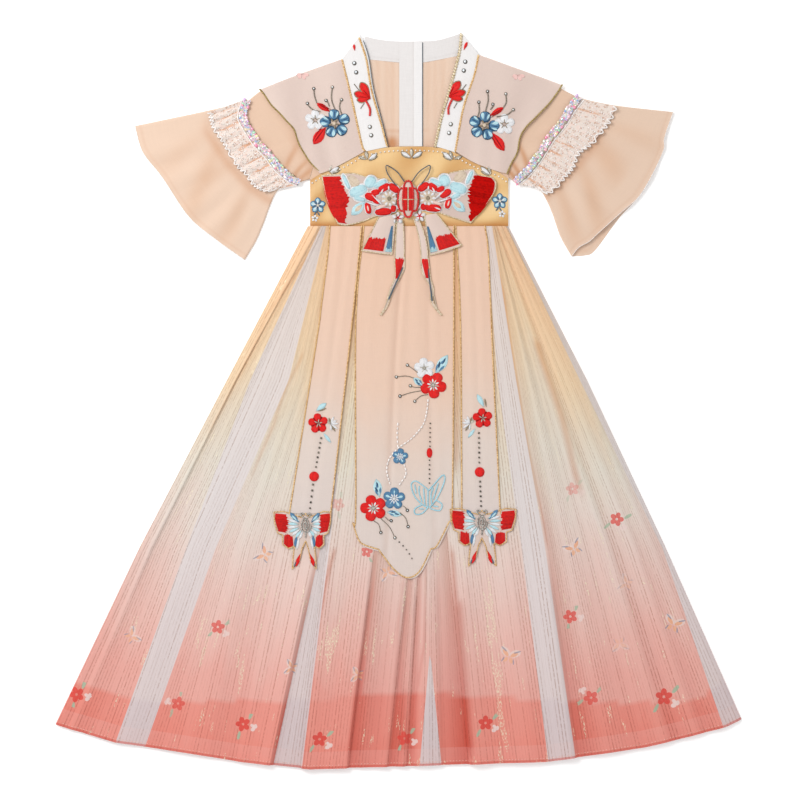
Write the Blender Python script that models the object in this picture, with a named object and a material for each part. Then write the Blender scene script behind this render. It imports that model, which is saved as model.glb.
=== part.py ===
"""A child's hanfu dress, laid flat on its back.

X is across the dress, Y runs from hem to collar, Z is up. All sizes are in millimetres until
the meshes are made, and each piece that a maker would cut is one closed solid.
"""

from collections import namedtuple
from math import cos, pi, sin

import bmesh
import bpy
import numpy as np

MM = 0.001

# ---------------------------------------------------------------- driving sizes
CLOTH = 1.2  # thickness of a main cloth wall
THIN = 1.0  # thickness of a lining, a back piece or a hanging panel
SEAM = 0.3  # gap between two pieces
CENTRE_X = 13.0  # the dress's middle line

WAIST_Y = 237.0  # lower edge of the waistband
HIP_Y = 28.0
KNEE_Y = -200.0
BAND_LEFT, BAND_RIGHT = -120.0, 149.0
BAND_BACK_TOP = 300.0

# Heights of the layers that lie on each other.
BACK_Z = 0.0
INNER_BACK_Z = BACK_Z + THIN + SEAM
INNER_FRONT_Z = INNER_BACK_Z + THIN + SEAM
FRONT_Z = INNER_FRONT_Z + THIN + SEAM
CAPE_Z = FRONT_Z + THIN + SEAM

# Colours as seen, linear.
PALE_PINK = (0.86, 0.70, 0.64)
PEACH = (0.90, 0.62, 0.45)
CORAL = (0.87, 0.33, 0.26)
GOLD_SATIN = (0.83, 0.52, 0.16)
WHITE = (0.88, 0.86, 0.85)
RED = (0.66, 0.03, 0.02)
CREAM = (0.88, 0.76, 0.62)

# ---------------------------------------------------------------- skirt tables
# Hem curve from the left corner to the right one.
HEM = [(-466, -440), (-384, -464), (-288, -478), (-216, -490), (-119, -500), (43, -495),
       (203, -490), (333, -471), (375, -461), (445, -443), (466, -433)]
# Lower edges of the front and back linings, which end above the skirt's hem.
LINING_HEM_FRONT = [(-440, -384), (-384, -396), (-338, -410), (-216, -407), (-127, -407),
                    (-16, -398), (88, -399), (179, -405), (301, -410), (407, -407), (440, -380)]
LINING_HEM_BACK = [(-440, -378), (-338, -394), (-134, -399), (138, -396), (301, -394),
                   (375, -380), (440, -366)]

# A fold line runs from the waist to the hem. waist, hip, knee and hem are its X there, top_rise
# its height above the flat cloth from waist to knee, hem_rise its height at the hem.
Fold = namedtuple("Fold", "name waist hip knee hem top_rise hem_rise")
FOLDS = [
    Fold("left_side_roll", -120.0, -228.0, -345.0, -455.0, 0.0, 0.0),
    Fold("left_waist_pleat_crest", -108.0, -221.0, -336.0, -444.0, 2.6, 1.6),
    Fold("left_waist_pleat_foot", -104.5, -216.0, -330.0, -434.0, 0.0, 0.2),
    Fold("white_stripe_left", -101.0, -190.0, -291.0, -384.0, 1.0, 2.6),
    Fold("white_stripe_right", -97.0, -156.0, -254.0, -342.0, 0.2, 0.6),
    Fold("left_panel_wave_1", -90.0, -134.0, -215.0, -286.0, 0.9, 3.4),
    Fold("left_panel_wave_2", -76.0, -114.0, -180.0, -236.0, 0.2, 1.2),
    Fold("left_panel_shoulder", -60.0, -95.0, -142.0, -203.0, 0.6, 3.6),
    Fold("left_panel_crest", -48.0, -78.0, -112.0, -175.0, 0.8, 7.0),
    Fold("left_recess_start", -44.5, -73.0, -106.0, -170.0, 0.0, 0.0),
    Fold("left_recess_end", -39.0, -64.0, -98.0, -135.0, 0.0, 0.0),
    Fold("centre_left_pleat_crest", -36.0, -60.0, -93.0, -130.0, 0.8, 6.6),
    Fold("centre_left_pleat_middle", -22.0, -38.0, -64.0, -100.0, 0.2, 4.2),
    Fold("centre_left_pleat_edge", -10.0, -18.0, -35.0, -71.0, 0.8, 6.0),
    Fold("centre_valley_start", -7.0, -14.5, -31.0, -66.0, 0.0, 0.0),
    Fold("centre_valley_middle", -1.0, -6.0, -12.0, -42.0, 0.3, 1.8),
    Fold("centre_fold_1_crest", 8.0, 8.0, 14.0, -17.0, 0.7, 5.0),
    Fold("centre_fold_1_foot", 11.0, 11.5, 18.5, -12.0, 0.0, 0.4),
    Fold("centre_fold_2_crest", 15.0, 17.0, 26.0, 8.0, 0.7, 4.6),
    Fold("centre_fold_2_foot", 18.0, 20.5, 30.0, 13.0, 0.0, 0.6),
    Fold("centre_ridge_crest", 23.0, 27.0, 37.0, 29.0, 0.8, 4.8),
    Fold("centre_ridge_edge", 30.0, 35.0, 47.0, 55.0, 0.5, 3.6),
    Fold("right_recess_start", 34.0, 40.0, 53.0, 61.0, 0.0, 0.0),
    Fold("right_recess_end", 40.0, 46.0, 66.0, 94.0, 0.0, 0.0),
    Fold("right_pleat_crest", 43.0, 50.0, 71.0, 99.0, 0.8, 7.2),
    Fold("right_pleat_hollow", 58.0, 76.0, 102.0, 138.0, 0.2, 3.0),
    Fold("right_pleat_wave", 74.0, 104.0, 134.0, 174.0, 0.8, 4.4),
    Fold("right_pleat_dip", 92.0, 132.0, 164.0, 206.0, 0.2, 3.0),
    Fold("right_pleat_edge", 108.0, 157.0, 196.0, 238.0, 0.9, 6.2),
    Fold("right_panel_start", 111.5, 161.5, 202.0, 244.0, 0.0, 0.4),
    Fold("right_panel_wave_1", 118.0, 178.0, 228.0, 286.0, 0.7, 3.6),
    Fold("right_panel_wave_2", 123.0, 192.0, 254.0, 324.0, 0.1, 1.0),
    Fold("right_waist_pleat_crest", 129.0, 206.0, 284.0, 362.0, 2.2, 3.4),
    Fold("right_waist_pleat_foot", 132.0, 211.0, 292.0, 374.0, 0.2, 1.4),
    Fold("right_side_wave", 137.0, 224.0, 318.0, 402.0, 1.8, 2.6),
    Fold("right_side_dip", 140.0, 231.0, 330.0, 420.0, 0.3, 0.5),
    Fold("right_edge_pleat", 143.0, 239.0, 343.0, 438.0, 2.2, 1.8),
    Fold("right_side_roll", 146.5, 251.0, 356.0, 457.0, 0.0, 0.0),
]
LEFT_EDGE = Fold("left_edge", -123.0, -233.0, -352.0, -466.0, 0.0, 0.0)
RIGHT_EDGE = Fold("right_edge", 149.0, 256.0, 363.0, 466.0, 0.0, 0.0)
FOLD_GROWTH = 0.45  # share of the way from knee to hem over which a fold reaches its height
COLUMN_STEP = 13.0  # widest column of the skirt's grid at the hem
UPPER_ROWS, LOWER_ROWS = 6, 7
LINING_INSET = 14.0

# ---------------------------------------------------------------- bodice tables
BAND_ARCH = [(-120, 299), (-105, 308), (-86, 316), (-58, 331), (-48, 337), (-20, 343), (17, 345),
             (56, 343), (75, 337), (104, 322), (133, 311), (149, 301)]

# Edges of the collar bands, from the shoulder fold to the waistband.
COLLAR_OUTER = {"left": [(-77, 463), (-63, 406), (-50, 347), (-45, 339.6)],
                "right": [(109, 469), (103, 441), (88, 396), (77, 338)]}
COLLAR_INNER = {"left": [(-51, 497), (-41, 466), (-34, 422), (-22, 377), (-14, 344.8)],
                "right": [(84, 500), (81, 473), (69, 426), (57, 385), (48, 344)]}
COLLAR_BACK_TOP = [(-46, 495), (-30, 491), (-5, 488), (32, 488), (54, 489), (79, 497)]
COLLAR_BACK_FOOT = [(-41, 463.3), (3, 459.3), (33, 459.3), (73, 467.3)]
SHOULDER = {"left": [(-77, 463), (-134, 443), (-188, 422)],
            "right": [(109, 469), (165, 449), (222, 428)]}
# The scalloped outer edge of the cape, from shoulder to waistband.
CAPE_EDGE = {"left": [(-188, 422), (-167, 395), (-145, 372), (-137, 354), (-127, 333), (-109, 312)],
             "right": [(222, 428), (207, 406), (188, 386), (168, 364), (161, 337), (154, 323),
                       (147, 308)]}
# The seam between bodice and sleeve, under the cape.
ARMHOLE = {"left": [(-167, 430), (-146, 399), (-124, 371), (-116, 347), (-114, 327), (-121, 300.5)],
           "right": [(199, 436), (184, 405), (149, 367), (145, 341), (142, 323), (150.5, 302.5)]}
# The seam between the upper sleeve and the flare, which the braid covers.
BRAID_LINE = {"left": [(-205, 407), (-211, 386), (-203, 368), (-191, 350), (-176, 334),
                       (-163, 317), (-146, 302), (-135, 296)],
              "right": [(245, 411), (234, 398), (221, 377), (209, 362), (197, 344), (184, 324),
                        (170, 307), (158, 296)]}
UPPER_TOP = {"left": [(-167, 430), (-188, 420), (-205, 407)],
             "right": [(199, 436), (222, 423), (245, 411)]}
UPPER_FOOT = {"left": [(-121, 300.5), (-135, 296)], "right": [(150.5, 302.5), (158, 296)]}
FLARE_TOP = {"left": [(-205, 407), (-254, 395), (-358, 373)],
             "right": [(245, 411), (294, 401), (373, 392)]}
FLARE_FOOT = {"left": [(-135, 296), (-164, 286), (-184, 239), (-194, 216), (-209, 191)],
              "right": [(158, 296), (188, 289), (198, 278), (209, 254), (220, 223), (235, 196)]}
CUFF_BACK = {"left": [(-358, 373), (-347, 337), (-320, 302), (-285, 250), (-247, 218),
                      (-209, 191)],
             "right": [(373, 392), (361, 357), (360, 341), (347, 312), (327, 278), (305, 254),
                       (293, 239), (266, 203), (252, 197), (235, 196)]}
CUFF_FRONT = {"left": CUFF_BACK["left"],
              "right": [(373, 392), (361, 357), (360, 341), (347, 312), (327, 278), (303, 256),
                        (273, 229), (259, 216), (245, 208), (235, 196)]}
LACE_EDGE = {"left": [(-256, 391), (-250, 369), (-237, 350), (-228, 334), (-217, 317),
                      (-207, 308), (-195, 292), (-178, 284), (-166, 287)],
             "right": [(294, 399), (286, 380), (275, 365), (262, 349), (244, 335), (236, 316),
                       (225, 303), (214, 290), (201, 281), (190, 289)]}

UPPER_COLUMNS = 12  # steps along the armhole
FLARE_COLUMNS = 22  # steps along the cuff

# Folds of a flared sleeve: where each starts on the braid and ends on the cuff, as a share of the
# way from the top fold to the underarm, with its height and half width.
SleeveFold = namedtuple("SleeveFold", "start end rise spread")
FLARE_FOLDS = [
    SleeveFold(0.30, 0.16, 2.2, 0.07),
    SleeveFold(0.50, 0.38, 3.2, 0.08),
    SleeveFold(0.66, 0.58, 2.4, 0.07),
    SleeveFold(0.80, 0.74, 3.6, 0.07),
    SleeveFold(0.92, 0.89, 2.4, 0.05),
]
UPPER_FOLDS = [
    SleeveFold(0.45, 0.35, 1.2, 0.08),
    SleeveFold(0.74, 0.62, 1.8, 0.08),
    SleeveFold(0.90, 0.82, 1.6, 0.06),
]

# ---------------------------------------------------------------- hangings and bow tables
PANEL_LEFT = [(-47, 236.4), (-58, 107), (-58, -146), (-62, -166)]
PANEL_RIGHT = [(75, 236.4), (75, 107), (73, -139), (69, -164)]
PANEL_POINT = [(-62, -166), (-55, -187), (-48, -195), (-27, -202), (-22, -209), (-6, -229),
               (11, -240), (28, -232), (44, -201), (52, -197), (69, -164)]
STREAMER_LEFT = {"left": [(-93, 236.4), (-96, 199), (-105, 126), (-111, 82), (-148, -153)],
                 "right": [(77.6, 236.4), (84, 107), (86, -153)]}
STREAMER_RIGHT = {"left": [(-50, 236.4), (-63, 107), (-92, -153)],
                  "right": [(117, 236.4), (122, 197), (128, 55), (138, -153)]}
# One half of the butterfly's outline, from its head down to the cleft between the tails.
BUTTERFLY_HALF = [(0, 14), (6, 9), (18, 13), (30, 17), (43, 16), (42, 2), (38, -12), (31, -15),
                  (31, -28), (23, -33), (15, -30), (17, -46), (18, -61), (8, -48), (5, -34),
                  (0, -23)]
# Its place, the scale of its halves, and what it is lifted by to clear the centre panel's edge.
Butterfly = namedtuple("Butterfly", "x y left_scale right_scale lift")
BUTTERFLIES = {"left": Butterfly(-126.0, -167.5, 1.0, 0.80, -0.6),
               "right": Butterfly(113.0, -163.5, 1.0, 1.08, 0.8)}

BOW_TIP = {"left": [(-104, 305), (-96, 270), (-82, 240)],
           "right": [(127, 303), (132, 295), (127, 278), (98, 241)]}
BOW_TOP = {"left": [(-104, 305), (-79, 307), (-61, 308), (-44, 303), (-31, 302), (-3, 294)],
           "right": [(127, 303), (108, 306), (99, 313), (76, 310), (56, 304), (29, 294)]}
BOW_FOOT = {"left": [(-82, 240), (-72, 238), (-52, 242), (-29, 251), (-3, 260)],
            "right": [(98, 241), (85, 245), (66, 251), (52, 256), (29, 262)]}
BOW_FOLDS = [(0.22, 1.8), (0.50, 2.6), (0.78, 1.8)]  # share of the wing's height, rise
KNOT_HALF_WIDTH, KNOT_HALF_HEIGHT, KNOT_Y = 15.0, 25.0, 272.0
TAIL_WIDE = {"left": [[(-27, 248), (-3, 253)], [(-50, 203), (-21, 199), (-9, 198)]],
             "right": [[(35, 251), (51, 254)], [(43, 197), (62, 202), (86, 210)]]}
# Each thin tail: Y, left X, right X, down to its pointed end.
TAIL_THIN = {"left": [(246, -1.5, 5), (232, -3, 7), (190, -5, 8), (178, -4, 7.5), (165, -5, 1),
                      (154, -10, -6), (139, -15, -11), (128, -18, -15), (116, -25, -23)],
             "right": [(246, 21, 27), (232, 25, 33), (214, 29, 38), (190, 31, 40.5), (178, 31, 42),
                       (165, 36.5, 43.5), (152, 44, 47.5), (139, 43, 46.5), (128, 47, 50),
                       (116, 57, 59)]}


# ---------------------------------------------------------------- shape helpers
def smooth(t):
    """0 to 1 with soft ends."""
    t = np.clip(t, 0.0, 1.0)
    return t * t * (3.0 - 2.0 * t)


def along(points, count):
    """count + 1 points along a run of points, which keep its corners: each stretch between two
    corners is parted into even steps."""
    p = np.array(points, float)
    length = np.linalg.norm(np.diff(p, axis=0), axis=1)
    parts = np.ones(len(length), int)
    while parts.sum() < count:
        parts[np.argmax(length / parts)] += 1
    found = [p[0]]
    for a, b, n in zip(p, p[1:], parts):
        found += [a + (b - a) * k / n for k in range(1, n + 1)]
    return np.array(found)


def parted(points, gap):
    """A line that runs downwards, moved sideways by gap: to +X if gap is above 0."""
    p = np.array(points, float)
    step = np.diff(p, axis=0)
    normal = np.stack([-step[:, 1], step[:, 0]], axis=1) / np.linalg.norm(step, axis=1)[:, None]
    before, after = np.vstack([normal[:1], normal]), np.vstack([normal, normal[-1:]])
    corner = (before + after) / (1.0 + (before * after).sum(1))[:, None]
    return [tuple(q) for q in p + gap * corner]


def patch(top, foot, left, right, columns, rows):
    """A grid of points between four edges. top and foot run from left to right, left and right
    from top to foot."""
    a, b = along(top, columns), along(foot, columns)
    c, d = along(left, rows), along(right, rows)
    u = np.linspace(0.0, 1.0, columns + 1)[None, :, None]
    v = np.linspace(0.0, 1.0, rows + 1)[:, None, None]
    ruled = (1 - v) * a[None] + v * b[None] + (1 - u) * c[:, None] + u * d[:, None]
    corners = ((1 - u) * (1 - v) * a[0] + u * (1 - v) * a[-1]
               + (1 - u) * v * b[0] + u * v * b[-1])
    return ruled - corners


def material(name, colour, roughness=0.7, metallic=0.0):
    found = bpy.data.materials.get(name)
    if found is None:
        found = bpy.data.materials.new(name)
        found.use_nodes = True
        surface = found.node_tree.nodes["Principled BSDF"]
        surface.inputs["Base Color"].default_value = (*colour, 1.0)
        surface.inputs["Roughness"].default_value = roughness
        surface.inputs["Metallic"].default_value = metallic
    return found


def add(name, points, faces, finish):
    """One object from points in millimetres and faces, with its normals out."""
    mesh = bpy.data.meshes.new(name)
    mesh.from_pydata([tuple(MM * float(c) for c in p) for p in points], [], faces)
    bm = bmesh.new()
    bm.from_mesh(mesh)
    bmesh.ops.recalc_face_normals(bm, faces=bm.faces)
    bm.to_mesh(mesh)
    bm.free()
    mesh.materials.append(finish)
    mesh.shade_smooth()
    mesh.set_sharp_from_angle(angle=pi / 5)
    piece = bpy.data.objects.new(name, mesh)
    bpy.context.scene.collection.objects.link(piece)
    return piece


def wall(name, upper, lower, finish):
    """A closed sheet between two grids of points, upper and lower, of the same shape."""
    rows, columns = upper.shape[:2]
    count = rows * columns
    points = np.concatenate([upper.reshape(-1, 3), lower.reshape(-1, 3)])
    faces = []
    for r in range(rows - 1):
        for c in range(columns - 1):
            i = r * columns + c
            quad = (i, i + columns, i + columns + 1, i + 1)
            faces.append(quad)
            faces.append(tuple(count + k for k in reversed(quad)))
    rim = [c for c in range(columns)]
    rim += [r * columns + columns - 1 for r in range(1, rows)]
    rim += [(rows - 1) * columns + c for c in range(columns - 2, -1, -1)]
    rim += [r * columns for r in range(rows - 2, 0, -1)]
    for i, j in zip(rim, rim[1:] + rim[:1]):
        faces.append((i, j, count + j, count + i))
    return add(name, points, faces, finish)


def raised(grid, height):
    """A flat grid with heights added."""
    return np.concatenate([grid, np.broadcast_to(height, grid.shape[:2])[..., None]], axis=2)


def flat(name, grid, low, thick, finish, rise=0.0):
    """A sheet of even thickness on a flat grid, lifted by rise."""
    lift = np.broadcast_to(np.asarray(low + rise, float), grid.shape[:2])
    return wall(name, raised(grid, lift + thick), raised(grid, lift), finish)


def plate(name, outline, low, thick, finish):
    """A flat piece of even thickness with a straight-sided outline."""
    count = len(outline)
    points = [(x, y, low + thick) for x, y in outline] + [(x, y, low) for x, y in outline]
    faces = [tuple(range(count)), tuple(range(2 * count - 1, count - 1, -1))]
    faces += [(k, count + k, count + (k + 1) % count, (k + 1) % count) for k in range(count)]
    return add(name, points, faces, finish)


# ---------------------------------------------------------------- skirt
def hem_y(x, hem):
    return float(np.interp(x, [p[0] for p in hem], [p[1] for p in hem]))


def skirt_lines():
    """The fold lines with the columns that fill the wide spans between them."""
    lines = [LEFT_EDGE, *FOLDS, RIGHT_EDGE]
    filled = [lines[0]]
    for a, b in zip(lines, lines[1:]):
        parts = max(1, int(round((b.hem - a.hem) / COLUMN_STEP)))
        for k in range(1, parts + 1):
            t = k / parts
            places = [p + (q - p) * t for p, q in zip(a[1:5], b[1:5])]
            soft = 0.5 - 0.5 * cos(pi * t)
            rises = [p + (q - p) * soft for p, q in zip(a[5:], b[5:])]
            filled.append(Fold(b.name if k == parts else "fill", *places, *rises))
    return filled


def line_point(line, v, hem):
    """The place and rise of a fold line at v: 0 the waist, 1 the knee, 2 the hem."""
    if v <= 1.0:
        y = WAIST_Y - SEAM + (KNEE_Y - WAIST_Y + SEAM) * v
        x = float(np.interp(-y, [-WAIST_Y, -HIP_Y, -KNEE_Y], [line.waist, line.hip, line.knee]))
        return x, y, line.top_rise
    t = v - 1.0
    x = line.knee + (line.hem - line.knee) * t
    y = KNEE_Y + (hem_y(line.hem, hem) - KNEE_Y) * t
    grow = float(smooth(t / FOLD_GROWTH))
    return x, y, line.top_rise + (line.hem_rise - line.top_rise) * grow


def mitred(row, thick):
    """The lower line of a wall of even thickness under a line of (x, y, z) points."""
    step = np.diff(row[:, [0, 2]], axis=0)
    normal = np.stack([-step[:, 1], step[:, 0]], axis=1)
    normal /= np.linalg.norm(normal, axis=1)[:, None]
    before = np.vstack([normal[:1], normal])
    after = np.vstack([normal, normal[-1:]])
    corner = (before + after) / (1.0 + (before * after).sum(1))[:, None]
    low = row.copy()
    low[:, [0, 2]] -= thick * corner
    low[0, 0], low[-1, 0] = row[0, 0], row[-1, 0]
    return low


def skirt_rows():
    return [v / UPPER_ROWS for v in range(UPPER_ROWS)] + [
        1.0 + v / LOWER_ROWS for v in range(LOWER_ROWS + 1)]


def make_skirt_front(finish):
    lines = skirt_lines()
    upper, lower = [], []
    for v in skirt_rows():
        row = np.array([line_point(line, v, HEM) for line in lines])
        row[:, 2] += FRONT_Z + CLOTH
        row[[0, -1], 2] = BACK_Z + THIN + SEAM + CLOTH
        under = mitred(row, CLOTH)
        under[[0, -1], 2] = row[[0, -1], 2] - CLOTH
        under[1:-1, 2] = np.maximum(under[1:-1, 2], FRONT_Z)
        upper.append(row)
        lower.append(under)
    return wall("skirt_front", np.array(upper), np.array(lower), finish)


def skirt_side(edge, inset, hem):
    """A side edge of a flat layer, from the waist down to its own hem, moved in by inset."""
    foot_x = edge.hem if hem is HEM else (hem[0][0] if inset > 0 else hem[-1][0])
    foot = hem_y(foot_x, hem)
    share = (KNEE_Y - foot) / (KNEE_Y - hem_y(edge.hem, HEM))
    end = edge.knee + (edge.hem - edge.knee) * share
    return [(edge.waist + inset, WAIST_Y - SEAM), (edge.hip + inset, HIP_Y),
            (edge.knee + inset, KNEE_Y), (end + inset, foot)]


def skirt_sheet(name, hem, inset, low, finish):
    """A flat layer of the skirt, inset from its sides, down to hem."""
    left, right = skirt_side(LEFT_EDGE, inset, hem), skirt_side(RIGHT_EDGE, -inset, hem)
    clear = 6.0
    foot = [p for p in hem if left[-1][0] + clear < p[0] < right[-1][0] - clear]
    plate(name, [*left, *foot, *reversed(right)], low, THIN, finish)


def skirt_height(x, y, reach=7.0):
    """The highest point of the skirt front within reach of (x, y), across."""
    lines = [LEFT_EDGE, *FOLDS, RIGHT_EDGE]
    spots = []
    for line in lines:
        if y >= KNEE_Y:
            v = (WAIST_Y - y) / (WAIST_Y - KNEE_Y)
        else:
            v = 1.0 + (KNEE_Y - y) / (KNEE_Y - hem_y(line.hem, HEM))
        at = line_point(line, v, HEM)
        spots.append((at[0], at[2]))
    xs, zs = zip(*spots)
    near = [float(np.interp(x + k * reach, xs, zs)) for k in (-1, -0.5, 0, 0.5, 1)]
    near += [z for a, z in spots if abs(a - x) <= reach]
    return FRONT_Z + CLOTH + max(near)


def over_skirt(grid):
    """Heights at which a sheet lies on the skirt front: level across each row, and clear of the
    cloth between two rows."""
    top = np.array([max(skirt_height(x, y) for x, y in row) for row in grid])
    clear = np.maximum(top, np.maximum(np.append(top[1:], top[-1]), np.append(top[0], top[:-1])))
    return np.repeat(clear[:, None] + SEAM, grid.shape[1], axis=1)


# ---------------------------------------------------------------- waist and bodice
def make_waist(finish):
    columns, rows = 24, 4
    foot = [(BAND_LEFT, WAIST_Y), (BAND_RIGHT, WAIST_Y)]
    left = [BAND_ARCH[0], foot[0]]
    right = [BAND_ARCH[-1], foot[1]]
    grid = patch(BAND_ARCH, foot, left, right, columns, rows)
    drop = np.zeros((rows + 1, columns + 1))
    drop[:, [0, -1]] = INNER_FRONT_Z - FRONT_Z
    flat("waistband_front", grid, FRONT_Z, CLOTH, finish, drop)
    outline = [*foot, (BAND_RIGHT, BAND_BACK_TOP), (BAND_LEFT, BAND_BACK_TOP)]
    plate("waistband_back", outline, BACK_Z, THIN, finish)


def lifted(points, dy):
    return [(x, y + dy) for x, y in points]


def arch_between(x_from, x_to, dy):
    """The waistband's top edge between two X, moved by dy."""
    xs, ys = zip(*BAND_ARCH)
    inner = [x for x in xs if min(x_from, x_to) + SEAM < x < max(x_from, x_to) - SEAM]
    places = sorted([x_from, x_to, *inner], reverse=x_from > x_to)
    return [(x, float(np.interp(x, xs, ys)) + dy) for x in places]


def outward(side):
    return -1 if side == "left" else 1


def arch_foot(start, end, gap):
    """Points along the waistband's top edge, gap above it, from start to end."""
    return [start, *arch_between(start[0], end[0], gap)[1:-1], end]


def on_arch(x, gap):
    return arch_between(x, x + 1.0, gap)[0]


def make_bodice(finish, guard_finish):
    for side in ("left", "right"):
        outer = parted(ARMHOLE[side], -outward(side) * SEAM)
        inner = parted(COLLAR_OUTER[side], outward(side) * SEAM)
        inner[-1] = on_arch(inner[-1][0], SEAM)
        foot = arch_foot(outer[-1], inner[-1], SEAM)
        outline = [*outer, *foot[1:-1], *reversed(inner)]
        plate(f"bodice_front_{side}", outline, FRONT_Z, THIN, finish)
    left = parted(ARMHOLE["left"], SEAM)
    right = parted(ARMHOLE["right"], -SEAM)
    neck = lifted(COLLAR_BACK_FOOT, -SEAM)
    outline = [*left, (CENTRE_X, BAND_BACK_TOP + 2), *reversed(right), (109, 468), *neck[::-1],
               (-77, 462)]
    plate("bodice_back", outline, INNER_BACK_Z, THIN, finish)
    guard_left, guard_right, guard_top, guard_foot = 1.0, 32.0, 487.0, 345.2
    plate("zip_guard", [(guard_left, guard_foot), (guard_right, guard_foot),
                        (guard_right, guard_top), (guard_left, guard_top)],
          INNER_FRONT_Z + SEAM, 0.8 * THIN, guard_finish)


def make_collar(finish):
    for side in ("left", "right"):
        outer, inner = [*COLLAR_OUTER[side]], [*COLLAR_INNER[side]]
        outer[-1], inner[-1] = on_arch(outer[-1][0], SEAM), on_arch(inner[-1][0], SEAM)
        foot = arch_foot(outer[-1], inner[-1], SEAM)
        grid = patch([outer[0], inner[0]], foot, outer, inner, 4, 8)
        crown = 0.5 * np.sin(np.linspace(0.0, pi, 5))[None, :]
        flat(f"collar_{side}", grid, FRONT_Z, 1.8, finish, crown)
    plate("collar_back", [*COLLAR_BACK_TOP, *reversed(COLLAR_BACK_FOOT)], INNER_BACK_Z, CLOTH,
          finish)


def make_cape(finish):
    neck = {"left": [(-41, 462), (3, 458), (CENTRE_X - 0.4, 458)],
            "right": [(73, 466), (33, 458), (CENTRE_X + 0.4, 458)]}
    for side in ("left", "right"):
        inner = parted(COLLAR_OUTER[side], outward(side) * SEAM)
        inner[-1] = on_arch(inner[-1][0], SEAM)
        edge = CAPE_EDGE[side]
        foot = arch_foot(edge[-1], inner[-1], SEAM)
        top = [*reversed(SHOULDER[side][1:]), inner[0]]
        columns, rows = 8, 8
        grid = patch(top, foot, edge, inner, columns, rows)
        u = np.linspace(0.0, 1.0, columns + 1)[None, :]
        v = np.linspace(0.0, 1.0, rows + 1)[:, None]
        wave = 1.6 * np.sin(2.0 * pi * (1.2 * u + 0.6 * v)) ** 2 * (1.0 - u) * smooth(3 * v)
        flat(f"cape_front_{side}", grid, CAPE_Z, THIN, finish, wave)
        centre_x = neck[side][-1][0]
        outline = [*edge, (centre_x, 316), *reversed(neck[side]), *SHOULDER[side][:-1]]
        plate(f"cape_back_{side}", outline, BACK_Z, THIN, finish)


# ---------------------------------------------------------------- sleeves
def fold_rise(folds, w, s, start):
    """Height of the folds at share w across and s along a sleeve; they grow from start."""
    total = np.zeros(np.broadcast(w, s).shape)
    for fold in folds:
        middle = fold.start + (fold.end - fold.start) * s
        total = total + fold.rise * np.exp(-(((w - middle) / fold.spread) ** 2))
    return total * smooth((s - start) / 0.35) * np.sin(pi * w) ** 0.5


def make_tube(name, front, back, low, height, rise, finish):
    """A flattened sleeve: front and back grids share their first and last columns, which are the
    top and underarm folds. Rows run from the shoulder end to the cuff end."""
    rows, columns = front.shape[:2]
    fold_edge = 2.4
    crown = np.full((rows, columns), height) + rise
    crown[:, [0, -1]] = fold_edge
    inset = 1.6

    def drawn_in(grid):
        """The grid with its first and last columns moved in by the wall's thickness."""
        moved = grid.copy()
        for edge, inner in ((0, 1), (-1, -2)):
            way = grid[:, inner] - grid[:, edge]
            moved[:, edge] += way / np.linalg.norm(way, axis=1)[:, None] * inset
        return moved

    outer_up, outer_down = raised(front, low + crown), raised(back, low)
    inner_crown = crown - THIN
    inner_crown[:, [0, -1]] = THIN + 0.4
    inner_up = raised(drawn_in(front), low + inner_crown)
    inner_down = raised(drawn_in(back), low + THIN)
    outer = np.concatenate([outer_up, outer_down[:, ::-1]], axis=1)
    inner = np.concatenate([inner_up, inner_down[:, ::-1]], axis=1)
    loop = outer.shape[1]
    count = rows * loop
    points = np.concatenate([outer.reshape(-1, 3), inner.reshape(-1, 3)])
    faces = []
    for r in range(rows - 1):
        for c in range(loop):
            d = (c + 1) % loop
            quad = (r * loop + c, r * loop + d, (r + 1) * loop + d, (r + 1) * loop + c)
            faces.append(quad)
            faces.append(tuple(count + k for k in reversed(quad)))
    for r in (0, rows - 1):
        for c in range(loop):
            d = (c + 1) % loop
            faces.append((r * loop + c, r * loop + d, count + r * loop + d, count + r * loop + c))
    return add(name, points, faces, finish)


def turned(grid):
    """Rows and columns swapped, so that rows run along the sleeve."""
    return np.swapaxes(grid, 0, 1)


def make_sleeves(finish):
    for side in ("left", "right"):
        columns, rows = UPPER_COLUMNS, 3
        seam = parted(BRAID_LINE[side], -outward(side) * SEAM)
        top = [*UPPER_TOP[side][:-1], seam[0]]
        foot = [*UPPER_FOOT[side][:-1], seam[-1]]
        grid = turned(patch(top, foot, ARMHOLE[side], seam, rows, columns))
        s = np.linspace(0.0, 1.0, rows + 1)[:, None]
        w = np.linspace(0.0, 1.0, columns + 1)[None, :]
        rise = fold_rise(UPPER_FOLDS, w, s, 0.55)
        make_tube(f"sleeve_upper_{side}", grid, grid, INNER_BACK_Z, 3.2, rise, finish)
        columns, rows = FLARE_COLUMNS, 5
        front = turned(patch(FLARE_TOP[side], FLARE_FOOT[side], BRAID_LINE[side],
                             CUFF_FRONT[side], rows, columns))
        back = turned(patch(FLARE_TOP[side], FLARE_FOOT[side], BRAID_LINE[side],
                            CUFF_BACK[side], rows, columns))
        s = np.linspace(0.0, 1.0, rows + 1)[:, None]
        w = np.linspace(0.0, 1.0, columns + 1)[None, :]
        rise = fold_rise(FLARE_FOLDS, w, s, 0.33)
        make_tube(f"sleeve_flare_{side}", front, back, BACK_Z, 3.8, rise, finish)


LACE_WAVES, LACE_HEIGHT, LACE_LOW = 14, 3.4, 4.4
BRAID_HALF, BRAID_THICK = 4.0, 1.8


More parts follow.
